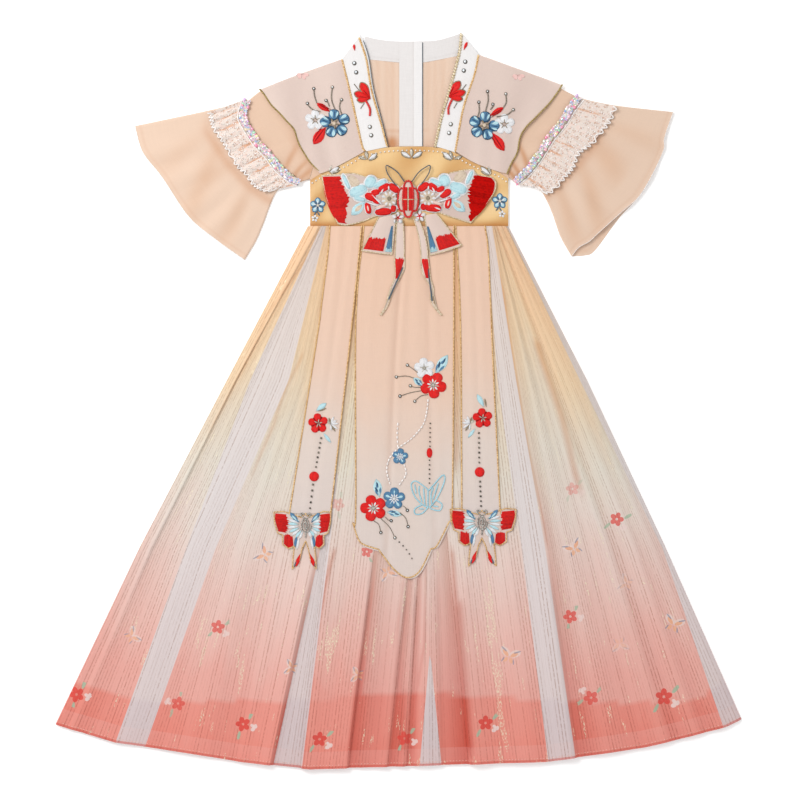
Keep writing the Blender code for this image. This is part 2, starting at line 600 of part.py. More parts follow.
def make_lace_and_braid(lace_finish, braid_finish):
    for side in ("left", "right"):
        columns, rows = LACE_WAVES * 4, 2
        inner = parted(BRAID_LINE[side], outward(side) * (BRAID_HALF + SEAM))
        grid = turned(patch([inner[0], LACE_EDGE[side][0]], [inner[-1], LACE_EDGE[side][-1]],
                            inner, LACE_EDGE[side], rows, columns))
        u = np.linspace(0.0, 1.0, columns + 1)[None, :]
        v = np.linspace(0.0, 1.0, rows + 1)[:, None]
        deep = 0.5 + (LACE_HEIGHT - 0.5) * v
        wave = deep * (0.5 - 0.5 * np.cos(2.0 * pi * LACE_WAVES * u))
        flat(f"lace_{side}", grid, LACE_LOW, THIN, lace_finish, wave)
        line = along(BRAID_LINE[side], 14)
        strip = np.array([parted(line, step) for step in (-BRAID_HALF, 0.0, BRAID_HALF)])
        flat(f"braid_{side}", strip, INNER_BACK_Z + 3.2 + SEAM + 2.0, BRAID_THICK, braid_finish)


# ---------------------------------------------------------------- hangings and bow
def make_hangings(panel_finish, streamer_finish):
    grid = patch([PANEL_LEFT[0], PANEL_RIGHT[0]], PANEL_POINT, PANEL_LEFT, PANEL_RIGHT, 10, 8)
    flat("panel_centre", grid, 0.0, THIN, panel_finish, over_skirt(grid))
    for side in ("left", "right"):
        left, right = STREAMER_LEFT[side], STREAMER_RIGHT[side]
        grid = patch([left[0], right[0]], [left[-1], right[-1]], left, right, 3, 8)
        flat(f"streamer_{side}", grid, 0.0, THIN, streamer_finish, over_skirt(grid))


def make_butterflies(finish):
    """Flat embroidered appliques: a grid from the middle line out to the wings' outline."""
    rings = 2
    for side, spec in BUTTERFLIES.items():
        right = [(x * spec.right_scale, y) for x, y in BUTTERFLY_HALF]
        left = [(-x * spec.left_scale, y) for x, y in BUTTERFLY_HALF[-2:0:-1]]
        outline = np.array(right + left) + (spec.x, spec.y)
        heart = np.array((spec.x, spec.y - 4.0))
        shares = np.linspace(0.0, 1.0, rings + 1)[1:]
        flat_points = [heart] + [heart + (p - heart) * s for s in shares for p in outline]
        lift = max(skirt_height(x, y) for x, y in flat_points) + THIN + 2 * SEAM + spec.lift
        n = len(outline)
        tops = [1.8] + [1.8 - 0.6 * s * s for s in shares for _ in outline]
        points = [(x, y, lift + z) for (x, y), z in zip(flat_points, tops)]
        points += [(x, y, lift) for x, y in flat_points]
        count = len(flat_points)
        faces = []
        for k in range(n):
            j = (k + 1) % n
            faces.append((0, 1 + k, 1 + j))
            faces.append((count, count + 1 + j, count + 1 + k))
            for ring in range(rings - 1):
                a, b = 1 + ring * n, 1 + (ring + 1) * n
                quad = (a + k, b + k, b + j, a + j)
                faces.append(quad)
                faces.append(tuple(count + i for i in reversed(quad)))
            rim = 1 + (rings - 1) * n
            faces.append((rim + k, count + rim + k, count + rim + j, rim + j))
        add(f"butterfly_{side}", points, faces, finish)


def make_bow(finish, knot_finish):
    low = FRONT_Z + CLOTH + SEAM
    for side in ("left", "right"):
        root = [BOW_TOP[side][-1], BOW_FOOT[side][-1]]
        columns, rows = 9, 8
        grid = patch(BOW_TOP[side], BOW_FOOT[side], BOW_TIP[side], root, columns, rows)
        u = np.linspace(0.0, 1.0, columns + 1)[None, :]
        v = np.linspace(0.0, 1.0, rows + 1)[:, None]
        rise = 3.4 * np.sin(pi * v) ** 0.7 * np.sin(pi * np.clip(0.12 + 0.8 * u, 0, 1)) ** 0.7
        for share, height in BOW_FOLDS:
            rise = rise + height * u * np.exp(-(((v - share) / 0.09) ** 2))
        flat(f"bow_wing_{side}", grid, low, CLOTH, finish, rise)
        top, foot = TAIL_WIDE[side]
        grid = patch(top, foot, [top[0], foot[0]], [top[-1], foot[-1]], 6, 6)
        tail_low = float(over_skirt(grid).max()) + THIN + SEAM
        u = np.linspace(0.0, 1.0, 7)[None, :]
        fold = 1.2 * np.sin(pi * u) * np.ones((7, 1))
        flat(f"bow_tail_wide_{side}", grid, tail_low, CLOTH, finish, fold)
        rows = np.array([[(x0, y), (0.5 * (x0 + x1), y), (x1, y)]
                         for y, x0, x1 in TAIL_THIN[side]])
        flat(f"bow_tail_thin_{side}", rows, tail_low, CLOTH, finish)
    rings, around = 4, 20
    points = [(CENTRE_X, KNOT_Y, low + 9.0)]
    for ring in range(1, rings + 1):
        share = ring / rings
        for k in range(around):
            turn = 2.0 * pi * k / around
            points.append((CENTRE_X + KNOT_HALF_WIDTH * share * cos(turn),
                           KNOT_Y + KNOT_HALF_HEIGHT * share * sin(turn),
                           low + 9.0 - 5.0 * share ** 2.5))
    base = len(points)
    points += [(x, y, low) for x, y, _ in points[-around:]]
    faces = [(0, 1 + k, 1 + (k + 1) % around) for k in range(around)]
    for ring in range(rings):
        a = 1 + ring * around
        b = base if ring == rings - 1 else a + around
        for k in range(around):
            j = (k + 1) % around
            faces.append((a + k, b + k, b + j, a + j))
    faces.append(tuple(base + k for k in reversed(range(around))))
    add("bow_knot", points, faces, knot_finish)


def main():
    for old in list(bpy.data.objects):
        bpy.data.objects.remove(old, do_unlink=True)
    sheer = material("sheer_skirt_cloth", CORAL)
    lining = material("lining_cloth", CREAM)
    chiffon = material("peach_chiffon", PEACH)
    organza = material("pink_organza", PALE_PINK)
    satin = material("gold_satin", GOLD_SATIN, 0.4)
    cotton = material("white_cotton", WHITE)
    stitched = material("red_embroidery", RED, 0.5)
    braid = material("beaded_braid", PALE_PINK, 0.3)

    make_skirt_front(sheer)
    skirt_sheet("skirt_back", HEM, 0.0, BACK_Z, sheer)
    skirt_sheet("lining_back", LINING_HEM_BACK, LINING_INSET, INNER_BACK_Z, lining)
    skirt_sheet("lining_front", LINING_HEM_FRONT, LINING_INSET, INNER_FRONT_Z, lining)
    make_waist(satin)
    make_bodice(chiffon, cotton)
    make_collar(cotton)
    make_cape(organza)
    make_sleeves(chiffon)
    make_lace_and_braid(cotton, braid)
    make_hangings(organza, chiffon)
    make_butterflies(stitched)
    make_bow(organza, stitched)


main()
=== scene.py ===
"""A child's hanfu dress laid flat on its back: cloth, piping, embroidery and beads.

X is across the dress, Y runs from hem to collar, Z is up. Tables and shapes are in millimetres,
and build() turns them into metres when it makes a mesh.
"""

from collections import namedtuple
from functools import partial
from math import cos, pi, radians, sin

import bmesh
import bpy
import numpy as np
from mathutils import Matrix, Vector
from mathutils.bvhtree import BVHTree


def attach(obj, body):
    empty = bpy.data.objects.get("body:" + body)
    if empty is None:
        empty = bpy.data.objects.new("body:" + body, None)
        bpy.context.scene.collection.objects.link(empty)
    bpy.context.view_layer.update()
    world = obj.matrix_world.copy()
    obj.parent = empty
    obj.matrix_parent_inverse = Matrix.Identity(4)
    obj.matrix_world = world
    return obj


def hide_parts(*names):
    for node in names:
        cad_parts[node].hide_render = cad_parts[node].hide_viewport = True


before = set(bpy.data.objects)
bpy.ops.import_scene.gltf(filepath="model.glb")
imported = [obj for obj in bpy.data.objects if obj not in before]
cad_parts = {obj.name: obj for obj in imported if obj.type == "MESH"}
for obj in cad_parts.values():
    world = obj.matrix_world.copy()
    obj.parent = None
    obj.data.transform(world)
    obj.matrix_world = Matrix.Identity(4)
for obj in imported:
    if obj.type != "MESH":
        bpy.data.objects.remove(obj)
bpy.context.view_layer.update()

MM = 0.001
RANDOM = np.random.default_rng(7)

# ---------------------------------------------------------------- sizes of the solids
CLOTH, THIN, SEAM = 1.2, 1, 0.3  # walls and gaps of the solids that the cloth stands for
WALL = 0.45  # thickness of the cloth as it is seen
FOLD_RADIUS = 2.6  # of the cloth where a sleeve folds back under itself
CENTRE_X = 13
WAIST_Y, HIP_Y, KNEE_Y = 237, 28, -200
BAND_LEFT, BAND_RIGHT, BAND_BACK_TOP = -120, 149, 300
BACK_Z = 0
INNER_BACK_Z = BACK_Z + THIN + SEAM
INNER_FRONT_Z = INNER_BACK_Z + THIN + SEAM
FRONT_Z = INNER_FRONT_Z + THIN + SEAM
CAPE_Z = FRONT_Z + THIN + SEAM

HEM = [(-466, -440), (-384, -464), (-288, -478), (-216, -490), (-119, -500), (43, -495), (203, -490),
    (333, -471), (375, -461), (445, -443), (466, -433)]
LINING_HEM_FRONT = [(-440, -384), (-384, -396), (-338, -410), (-216, -407), (-127, -407), (-16, -398),
    (88, -399), (179, -405), (301, -410), (407, -407), (440, -380)]
LINING_HEM_BACK = [(-440, -378), (-338, -394), (-134, -399), (138, -396), (301, -394), (375, -380),
    (440, -366)]

# Fold lines of the skirt from its left edge to its right one: X at waist, hip, knee and hem,
# height above the flat cloth down to the knee and at the hem, and how much painted shade it takes
# in the pleats: 1 is a deep recess. A pleat is a crest with a line close beside it, on the flat cloth.
Fold = namedtuple("Fold", "waist hip knee hem top_rise hem_rise recess")
FOLDS = [Fold(*row) for row in [(-123, -233, -352, -466, 0, 0, 0.4), (-120, -228, -345, -455, 0, 0, 0.3),
    (-108, -221, -336, -444, 2.6, 1.6, 0), (-104.5, -219, -331, -434, 0, 0.2, 0.3),
    (-101, -190, -291, -384, 1, 2.6, 0), (-97, -149, -250, -342, 0, 0.4, 0.2),
    (-90, -134, -215, -286, 0.9, 3.4, 0), (-76, -114, -180, -236, 0.2, 1.2, 0.15),
    (-60, -95, -142, -203, 0.6, 3.6, 0), (-48, -78, -112, -175, 0.8, 7, 0),
    (-44.5, -73, -106, -170, 0, 0, 1), (-39, -64, -98, -135, 0, 0, 0.25),
    (-36, -60, -93, -130, 0.8, 6.6, 0), (-22, -38, -64, -100, 0.2, 4.2, 0.1),
    (-10, -18, -35, -71, 0.8, 6, 0), (-7, -14.5, -31, -66, 0, 0, 0.9), (-1, -6, -12, -42, 0.3, 1.8, 0.5),
    (8, 8, 14, -17, 0.7, 5, 0.2), (11, 11.5, 18.5, -12, 0, 0.4, 1), (15, 17, 26, 8, 0.7, 4.6, 0.3),
    (18, 20.5, 30, 13, 0, 0.6, 0.9), (23, 27, 37, 29, 0.8, 4.8, 0), (30, 35, 47, 55, 0.5, 3.6, 0.1),
    (34, 40, 53, 61, 0, 0, 0.5), (40, 46, 66, 94, 0, 0, 1), (43, 50, 71, 99, 0.8, 7.2, 0),
    (64, 78, 102, 138, 0.2, 3, 0.1), (86, 108, 134, 174, 0.8, 4.4, 0), (108, 136, 164, 206, 0.2, 3, 0.1),
    (124.5, 158, 198, 238, 0.9, 6.2, 0), (127.5, 162, 203, 244, 0, 0.4, 0.8),
    (129.2, 178, 228, 286, 0.7, 3.6, 0.1), (130.4, 192, 254, 324, 0.1, 1, 0.2),
    (131.6, 205, 284, 362, 2.2, 3.4, 0), (133.4, 211, 292, 374, 0.2, 1.4, 0.4),
    (138, 226, 318, 402, 1.8, 2.6, 0), (141.5, 238, 330, 420, 0.3, 0.5, 0.3),
    (144.5, 244, 343, 438, 2.2, 1.8, 0), (146.5, 251, 356, 457, 0, 0, 0.2),
    (149, 256, 363, 466, 0, 0, 0.3)]]
FOLD_GROWTH = 0.28  # share of the way from knee to hem over which a fold reaches its height
SKIRT_LENGTH = 737
COLUMN_STEP = 3.4  # width of the skirt's cloth columns at the hem
SKIRT_ROWS = 100

# White ribbons woven into the gauze: X of both edges at waist, hip, knee and hem, and the share
# of the length from which each shows.
Ribbon = namedtuple("Ribbon", "left right start")
RIBBONS = [Ribbon(*row) for row in [((-105, -201, -288, -384), (-98, -149, -248, -344), 0),
    ((-45, -73.5, -106, -170), (-41, -66, -94, -131), 0.45), ((24, 29, 55, 28.6), (26, 33, 29, 58.4), 0.6),
    ((119, 134, 167, 203), (127, 159.5, 199, 240), 0), ((146.5, 246, 358, 441), (150, 257, 368, 470), 0)]]
# Soft creases of the skirt: X at the hem of the column that each starts on and ends on, shares
# of the length where it starts and ends, its height and its half width at the hem.
Crease = namedtuple("Crease", "start end first last rise width")
SKIRT_CREASES = [Crease(*row) for row in [(-430, -424, 0.02, 0.34, 0.7, 6), (-398, -410, 0, 0.45, 0.9, 9),
    (-362, -352, 0.05, 0.62, -0.5, 8), (-322, -330, 0.3, 0.88, 0.7, 9), (-300, -296, 0.02, 0.4, 0.8, 8),
    (-262, -270, 0, 0.55, -0.6, 7), (-268, -262, 0.55, 1.02, 0.6, 7), (-238, -216, 0, 0.48, 0.9, 9),
    (-222, -222, 0.62, 1.02, -0.7, 6), (-196, -186, 0.1, 0.6, 0.5, 6), (-118, -112, 0.5, 1.02, -0.8, 5),
    (-86, -90, 0.58, 1.02, 0.9, 6), (-54, -50, 0.66, 1.02, 0.7, 5), (-30, -28, 0.7, 1.02, -0.5, 4),
    (42, 40, 0.64, 1.02, 0.8, 3), (118, 112, 0.56, 1.02, 0.8, 7), (150, 156, 0.4, 0.96, -0.7, 8),
    (190, 184, 0.48, 1.02, 0.6, 6), (222, 224, 0.2, 0.8, -0.5, 6), (262, 254, 0.44, 0.96, -0.9, 9),
    (282, 300, 0.02, 0.52, 1, 9), (306, 316, 0, 0.34, -0.7, 7), (338, 330, 0, 0.42, 0.9, 8),
    (350, 344, 0.5, 1, 0.7, 10), (384, 392, 0, 0.38, 0.8, 7), (388, 380, 0.55, 1.02, -0.6, 8),
    (412, 416, 0.1, 0.58, 0.6, 6)]]

# Deep creases, drawn as shade: X at given heights Y, half width, and depth of the shade.
Shade = namedtuple("Shade", "line width depth")
SHADES = [Shade(*row)
    for row in [([(-102, 235), (-106, 223), (-116, 207), (-135, 178), (-153, 151), (-180, 114), (-188, 90),
    (-204, 57), (-225, 18), (-243, -17), (-256, -40), (-262, -60)], 2.2, 0.55),
    ([(-128, 66), (-141, 40), (-153, 18), (-161, -5), (-170, -34), (-190, -80), (-206, -120)], 3, 0.55),
    ([(127, 232), (128, 210), (133, 183), (142, 146), (149, 97), (156, 51), (163, 13), (171, -38),
    (182, -93), (198, -170), (206, -220)], 2.6, 1),
    ([(186, 84), (194, 55), (206, 22), (221, -22), (229, -53), (240, -100), (252, -140)], 5.5, 0.8),
    ([(76, 236), (78, 120), (79, 0), (78, -110)], 4.5, 0.9),
    ([(-50, 238), (-52.6, 191), (-57.3, 157), (-63, 118), (-68, 75), (-71, 51), (-75, 21), (-79, -7),
    (-82, -40)], 5, 1), ([(-32, -205), (-35, -260), (-46, -330), (-57, -400), (-68, -500)], 3.6, 0.75),
    ([(8, -238), (1, -290), (-2, -350), (-4, -385), (6, -420)], 3, 0.6),
    ([(3, -385), (1, -440), (-2, -500)], 11, 0.75), ([(79, -270), (84, -340), (90, -420), (94, -500)], 8,
    1), ([(37, -215), (35, -330), (22, -410), (20, -500)], 2.4, 0.6),
    ([(72, -200), (79, -290), (86, -360), (97, -460), (99, -500)], 3.6, 0.9),
    ([(-86, -200), (-100, -252), (-109, -301), (-118, -350), (-127, -399), (-132, -500)], 3, 0.8)]]
# Where gold metal threads gather and are painted pale as a painted highlight, drawn the same way.
GLINTS = [Shade(*row) for row in [([(-258, -290), (-268, -370)], 9, 1),
    ([(-196, -300), (-222, -400)], 12, 1), ([(-82, -265), (-96, -375)], 7, 0.9),
    ([(120, -260), (128, -330), (148, -500)], 9, 1.2), ([(-150, -420), (-170, -490)], 9, 0.7),
    ([(38, -380), (30, -470)], 5, 0.6)]]
UNLINED = (-134, -60)  # a doubled pleat between these X at the hem hides the lining's hem
# How far the dye has crept along the cloth, against X at the hem: below 0 is nearer the waist.
DYE_SHIFT = [(-466, -0.05), (-436, -0.07), (-426, 0), (-345, 0.02), (-250, -0.02), (-180, 0), (-134, 0),
    (-130, 0.03), (-62, 0.03), (-58, 0), (30, 0), (100, 0.02), (140, -0.02), (236, -0.02), (246, 0.06),
    (350, 0.06), (368, -0.07), (436, -0.09), (466, -0.02)]

# ---------------------------------------------------------------- bodice and sleeve outlines
BAND_ARCH = [(-120, 299), (-105, 308), (-86, 316), (-58, 331), (-48, 337), (-20, 343), (17, 345), (56, 343),
    (75, 337), (104, 322), (133, 311), (149, 301)]
SIDES = {"left": -1, "right": 1}  # which way is outward
COLLAR_OUTER = {"left": [(-77, 463), (-63, 406), (-50, 347), (-45, 339.6)],
    "right": [(109, 469), (103, 441), (88, 396), (77, 338)]}
COLLAR_INNER = {"left": [(-51, 497), (-41, 466), (-34, 422), (-22, 377), (-14, 344.8)],
    "right": [(84, 500), (81, 473), (69, 426), (57, 385), (48, 344)]}
COLLAR_BACK_TOP = [(-46, 495), (-30, 491), (-5, 488), (32, 488), (56, 490), (86, 499)]
COLLAR_BACK_FOOT = [(-41, 463.3), (3, 459.3), (33, 459.3), (80, 468)]
SHOULDER = {"left": [(-77, 463), (-134, 443), (-188, 422)], "right": [(109, 469), (165, 449), (222, 428)]}
CAPE_EDGE = {"left": [(-188, 422), (-167, 395), (-145, 372), (-137, 354), (-127, 333), (-109, 312)],
    "right": [(222, 428), (207, 406), (188, 386), (168, 364), (161, 337), (154, 323), (147, 308)]}
ARMHOLE = {"left": [(-167, 430), (-146, 399), (-124, 371), (-116, 347), (-114, 327), (-121, 300.5)],
    "right": [(199, 436), (184, 405), (149, 367), (145, 341), (142, 323), (150.5, 302.5)]}
BRAID_LINE = {"left": [(-205, 407), (-211, 386), (-203, 368), (-191, 350), (-176, 334), (-163, 317),
    (-146, 302), (-135, 296)], "right": [(245, 411), (234, 398), (221, 377), (209, 362), (197, 344),
    (184, 324), (170, 307), (158, 296)]}
UPPER_TOP = {"left": [(-167, 430), (-188, 420), (-205, 407)], "right": [(199, 436), (222, 423), (245, 411)]}
UPPER_FOOT = {"left": [(-121, 300.5), (-135, 296)], "right": [(150.5, 302.5), (158, 296)]}
FLARE_TOP = {"left": [(-205, 407), (-254, 395), (-358, 373)], "right": [(245, 411), (294, 401), (373, 392)]}
FLARE_FOOT = {"left": [(-135, 296), (-164, 286), (-184, 239), (-194, 216), (-209, 191)],
    "right": [(158, 296), (188, 289), (198, 278), (209, 254), (220, 223), (235, 196)]}
CUFF_BACK = {"left": [(-358, 373), (-347, 337), (-320, 302), (-285, 250), (-247, 218), (-209, 191)],
    "right": [(373, 392), (361, 357), (360, 341), (347, 312), (327, 278), (305, 254), (293, 239),
    (266, 203), (252, 197), (235, 196)]}
CUFF_FRONT = {"left": CUFF_BACK["left"], "right": [(373, 392), (361, 357), (360, 341), (347, 312),
    (327, 278), (303, 256), (273, 229), (259, 216), (245, 208), (235, 196)]}
LACE_EDGE = {"left": [(-256, 391), (-250, 369), (-237, 350), (-228, 334), (-217, 317), (-207, 308),
    (-195, 292), (-178, 284), (-166, 287)], "right": [(294, 399), (286, 380), (275, 365), (262, 349),
    (244, 335), (236, 316), (225, 303), (214, 290), (201, 281), (190, 289)]}
UPPER_Z, UPPER_CROWN = INNER_BACK_Z, 3.2
FLARE_Z, FLARE_CROWN = BACK_Z, 3.8
# Folds of a sleeve: where each starts on the shoulder side and ends on the cuff side, as a share
# of the way from the top fold to the underarm, with its height, half width and first share.
SleeveFold = namedtuple("SleeveFold", "start end rise spread first")
FLARE_FOLDS = [SleeveFold(*row) for row in [(0.3, 0.16, 2.2, 0.07, 0.33), (0.5, 0.38, 3.2, 0.08, 0.33),
    (0.66, 0.58, 2.4, 0.07, 0.33), (0.8, 0.74, 3.6, 0.07, 0.33), (0.92, 0.89, 2.4, 0.05, 0.33),
    (0.42, 0.27, -0.9, 0.05, 0.5), (0.73, 0.67, -0.8, 0.04, 0.4), (0.58, 0.48, 0.7, 0.03, 0.36)]]
UPPER_FOLDS = [SleeveFold(*row) for row in [(0.45, 0.35, 1.2, 0.08, 0.55), (0.74, 0.62, 1.8, 0.08, 0.55),
    (0.9, 0.82, 1.6, 0.06, 0.55), (0.82, 0.72, -0.7, 0.03, 0.45), (0.66, 0.52, -0.5, 0.04, 0.5)]]
LACE_WAVES, LACE_HEIGHT, LACE_LOW = 9, 3.4, 4.4
BRAID_HALF, BRAID_THICK, BRAID_LOW = 4, 1.8, INNER_BACK_Z + 3.2 + SEAM + 2

# ---------------------------------------------------------------- hangings and bow outlines
PANEL_LEFT = [(-47, 236.4), (-58, 107), (-58, -146), (-62, -166)]
PANEL_RIGHT = [(75, 236.4), (75, 107), (73, -139), (69, -164)]
PANEL_POINT = [[(-62, -166), (-55, -187), (-48, -195), (-27, -202)], [(-27, -202), (-22, -209)],
    [(-22, -209), (-6, -229), (11, -240), (28, -232), (44, -201)], [(44, -201), (52, -197), (69, -164)]]
STREAMER_LEFT = {"left": [(-93, 236.4), (-96, 199), (-105, 126), (-111, 82), (-148, -153)],
    "right": [(77.6, 236.4), (84, 107), (86, -153)]}
STREAMER_RIGHT = {"left": [(-50, 236.4), (-63, 107), (-92, -153)],
    "right": [(117, 236.4), (122, 197), (128, 55), (138, -153)]}
BUTTERFLY_HALF = [(0, 14), (6, 9), (18, 13), (30, 17), (43, 16), (42, 2), (38, -12), (31, -15), (31, -28),
    (23, -33), (15, -30), (17, -46), (18, -61), (8, -48), (5, -34), (0, -23)]
Butterfly = namedtuple("Butterfly", "x y left_scale right_scale")
BUTTERFLIES = {"left": Butterfly(-126, -167.5, 1, 0.8), "right": Butterfly(113, -163.5, 1, 1.08)}
BOW_TIP = {"left": [(-104, 305), (-96, 270), (-82, 240)],
    "right": [(127, 303), (132, 295), (127, 278), (98, 241)]}
BOW_TOP = {"left": [(-104, 305), (-79, 307), (-61, 308), (-44, 303), (-31, 302), (-3, 294)],
    "right": [(127, 303), (108, 306), (99, 313), (76, 310), (56, 304), (29, 294)]}
BOW_FOOT = {"left": [(-82, 240), (-72, 238), (-52, 242), (-29, 251), (-3, 260)],
    "right": [(98, 241), (85, 245), (66, 251), (52, 256), (29, 262)]}
BOW_FOLDS = [(0.22, 1.8), (0.5, 2.6), (0.78, 1.8)]
KNOT_HALF_WIDTH, KNOT_HALF_HEIGHT, KNOT_Y = 15, 25, 272
BOW_Z = FRONT_Z + CLOTH + SEAM
TAIL_WIDE = {"left": [[(-27, 248), (-3, 253)], [(-50, 203), (-21, 199), (-9, 198)]],
    "right": [[(35, 251), (51, 254)], [(43, 197), (62, 202), (86, 210)]]}
TAIL_THIN = {"left": [(246, -1.5, 5), (232, -3, 7), (190, -5, 8), (178, -4, 7.5), (165, -5, 1),
    (154, -10, -6), (139, -15, -11), (128, -18, -15), (116, -25, -23)],
    "right": [(246, 21, 27), (232, 25, 33), (214, 29, 38), (190, 31, 40.5), (178, 31, 42),
    (165, 36.5, 43.5), (152, 44, 47.5), (139, 43, 46.5), (128, 47, 50), (116, 57, 59)]}


# ---------------------------------------------------------------- shapes
def smooth(t):
    """0 to 1 with soft ends."""
    t = np.clip(t, 0, 1)
    return t * t * (3 - 2 * t)


def bell(t, middle, half_width):
    """1 at middle, falling softly to both sides."""
    return np.exp(-((t - middle) / half_width) ** 2)


def even(count):
    return np.linspace(0, 1, count + 1)


def dense_ends(count):
    """Shares from 0 to 1 that lie closer together at both ends."""
    return 0.5 - 0.5 * np.cos(pi * even(count))


def steps(points, axis=0):
    """The distance from each point to the next."""
    return np.linalg.norm(np.diff(np.array(points, float), axis=axis), axis=-1)


def run(points, shares):
    """A soft line through points, read at shares of its length."""
    p = np.array(points, float)
    if len(p) > 2:
        padded = np.vstack([2 * p[0] - p[1], p, 2 * p[-1] - p[-2]])
        t = np.linspace(0, 1, 12, endpoint=False)[:, None]
        found = []
        for a, b, c, d in zip(padded, padded[1:], padded[2:], padded[3:]):
            bend = 2 * a - 5 * b + 4 * c - d + t * (3 * (b - c) + d - a)
            found.append(b + 0.5 * t * (c - a + t * bend))
        p = np.vstack([*found, p[-1:]])
    length = np.append(0, np.cumsum(steps(p)))
    return np.stack([np.interp(shares * length[-1], length, column) for column in p.T], 1)


def parted(points, gap):
    """A line that runs downwards, moved sideways by gap: to +X if gap is above 0."""
    p = np.array(points, float)
    normal = np.diff(p, axis=0)[:, ::-1] * (-1, 1) / steps(p)[:, None]
    before, after = np.vstack([normal[:1], normal]), np.vstack([normal, normal[-1:]])
    corner = (before + after) / (1 + (before * after).sum(1))[:, None]
    return p + gap * corner


def patch(top, foot, u, v, left=None, right=None):
    """A grid of points between four edges: u are shares along top and foot, v down the sides,
    which are straight where none is given."""
    left = [top[0], foot[0]] if left is None else left
    right = [top[-1], foot[-1]] if right is None else right
    a, b, c, d = run(top, u), run(foot, u), run(left, v), run(right, v)
    u, v = u[None, :, None], v[:, None, None]
    ruled = (1 - v) * a[None] + v * b[None] + (1 - u) * c[:, None] + u * d[:, None]
    corners = (1 - u) * (1 - v) * a[0] + u * (1 - v) * a[-1] + (1 - u) * v * b[0] + u * v * b[-1]
    return ruled - corners


def raised(grid, height):
    """A flat grid with heights added."""
    return np.concatenate([grid, np.broadcast_to(height, grid.shape[:2])[..., None]], axis=2)


def arch_line(start, end, gap):
    """A line gap above the waistband's top edge, from the X of start to that of end."""
    xs, ys = zip(*BAND_ARCH)
    inner = [x for x in xs if min(start, end) + SEAM < x < max(start, end) - SEAM]
    places = sorted([start, end, *inner], reverse=bool(start > end))
    return [(x, float(np.interp(x, xs, ys)) + gap) for x in places]


# ---------------------------------------------------------------- meshes
def placed(name, data):
    thing = bpy.data.objects.new(name, data)
    bpy.context.scene.collection.objects.link(thing)
    return thing


def build(name, points, faces, finishes, flat=None, **values):
    """An object from points in millimetres. flat is where each point lies on the cut cloth, in
    millimetres, and values are numbers that the finishes read at each point."""
    mesh = bpy.data.meshes.new(name)
    mesh.from_pydata((np.asarray(points, float) * MM).tolist(), [], faces)
    if flat is not None:
        corner = np.zeros(len(mesh.loops), np.int64)
        mesh.loops.foreach_get("vertex_index", corner)
        layer = mesh.uv_layers.new(name="cloth")
        layer.data.foreach_set("uv", (np.asarray(flat, float) * MM)[corner].ravel())
    for key, value in values.items():
        kind, field = ("FLOAT_VECTOR", "vector") if np.ndim(value) == 2 else ("FLOAT", "value")
        data = mesh.attributes.new(key, kind, "POINT").data
        data.foreach_set(field, np.asarray(value, np.float32).ravel())
    for finish in finishes:
        mesh.materials.append(finish)
    bm = bmesh.new()
    bm.from_mesh(mesh)
    bmesh.ops.recalc_face_normals(bm, faces=bm.faces)
    bm.to_mesh(mesh)
    bm.free()
    mesh.shade_smooth()
    mesh.set_sharp_from_angle(angle=radians(50))
    return placed(name, mesh)


def unit(vectors):
    return vectors / np.maximum(np.linalg.norm(vectors, axis=-1, keepdims=True), 1e-9)


def quads(rows, columns, offset=0, flip=False):
    i = (np.arange(rows - 1)[:, None] * columns + np.arange(columns - 1)[None]).ravel() + offset
    found = np.stack([i, i + columns, i + columns + 1, i + 1], 1)
    return (found[:, ::-1] if flip else found).tolist()


def rim(rows, columns, start=0, flip=False):
    """Faces from the edges of a grid down to those of the same grid below it."""
    count = rows * columns
    ring = [*range(columns), *(r * columns + columns - 1 for r in range(1, rows)),
        *range(count - 2, count - columns - 1, -1), *(r * columns for r in range(rows - 2, 0, -1))]
    pairs = [(start + i, start + j) for i, j in zip(ring, ring[1:] + ring[:1])]
    return [(i, j, count + j, count + i) if flip else (j, i, count + i, count + j) for i, j in pairs]


def cut_of(grid):
    """Width, length and area in metres of the cloth that a grid of points stands for."""
    a, b = grid[1:, :-1] - grid[:-1, :-1], grid[:-1, 1:] - grid[:-1, :-1]
    c, d = grid[1:, 1:] - grid[:-1, 1:], grid[1:, 1:] - grid[1:, :-1]
    area = sum(np.linalg.norm(np.cross(p, q), axis=2).sum() for p, q in ((a, b), (c, d))) / 2
    return steps(grid, 1).sum(1).max() * MM, steps(grid).sum(0).max() * MM, area * MM * MM


def on_cloth(grid):
    """Where each point of a grid lies on the flat cloth: threads follow its rows and columns."""
    u, v = (np.append(0, np.cumsum(steps(grid, axis).mean(1 - axis))) for axis in (1, 0))
    return np.stack(np.meshgrid(u, v), axis=2).reshape(-1, 2)


def shell(name, top, finish, wall=WALL, floor=0, flat=None, **values):
    """A thin closed sheet of cloth under a grid of points; no part of it is below floor."""
    rows, columns = top.shape[:2]
    normal = unit(np.cross(np.gradient(top, axis=0), np.gradient(top, axis=1)))
    flip = normal[..., 2].mean() <= 0
    under = top + wall * normal if flip else top - wall * normal
    under[..., 2] = np.maximum(under[..., 2], floor)
    flat = on_cloth(top) if flat is None else flat
    for key, value in values.items():
        if np.ndim(value) < 3:
            value = np.broadcast_to(value, (rows, columns))[..., None]
        values[key] = np.concatenate([value.reshape(rows * columns, -1).squeeze()] * 2)
    points = np.concatenate([top, under]).reshape(-1, 3)
    faces = quads(rows, columns, 0, not flip) + quads(rows, columns, rows * columns, flip)
    return build(name, points, faces + rim(rows, columns, 0, flip), [finish], np.concatenate([flat] * 2),
        **values)


def worn(piece, slot, *nodes, cut=None, on=()):
    """The piece rides on the dress and stands for nodes, whose solids it hides. slot, a finish slot,
    is not used, and cut, the flat width, length and area of the cloth, is not used."""
    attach(piece, "root")
    if nodes:
        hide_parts(*nodes)
    return piece


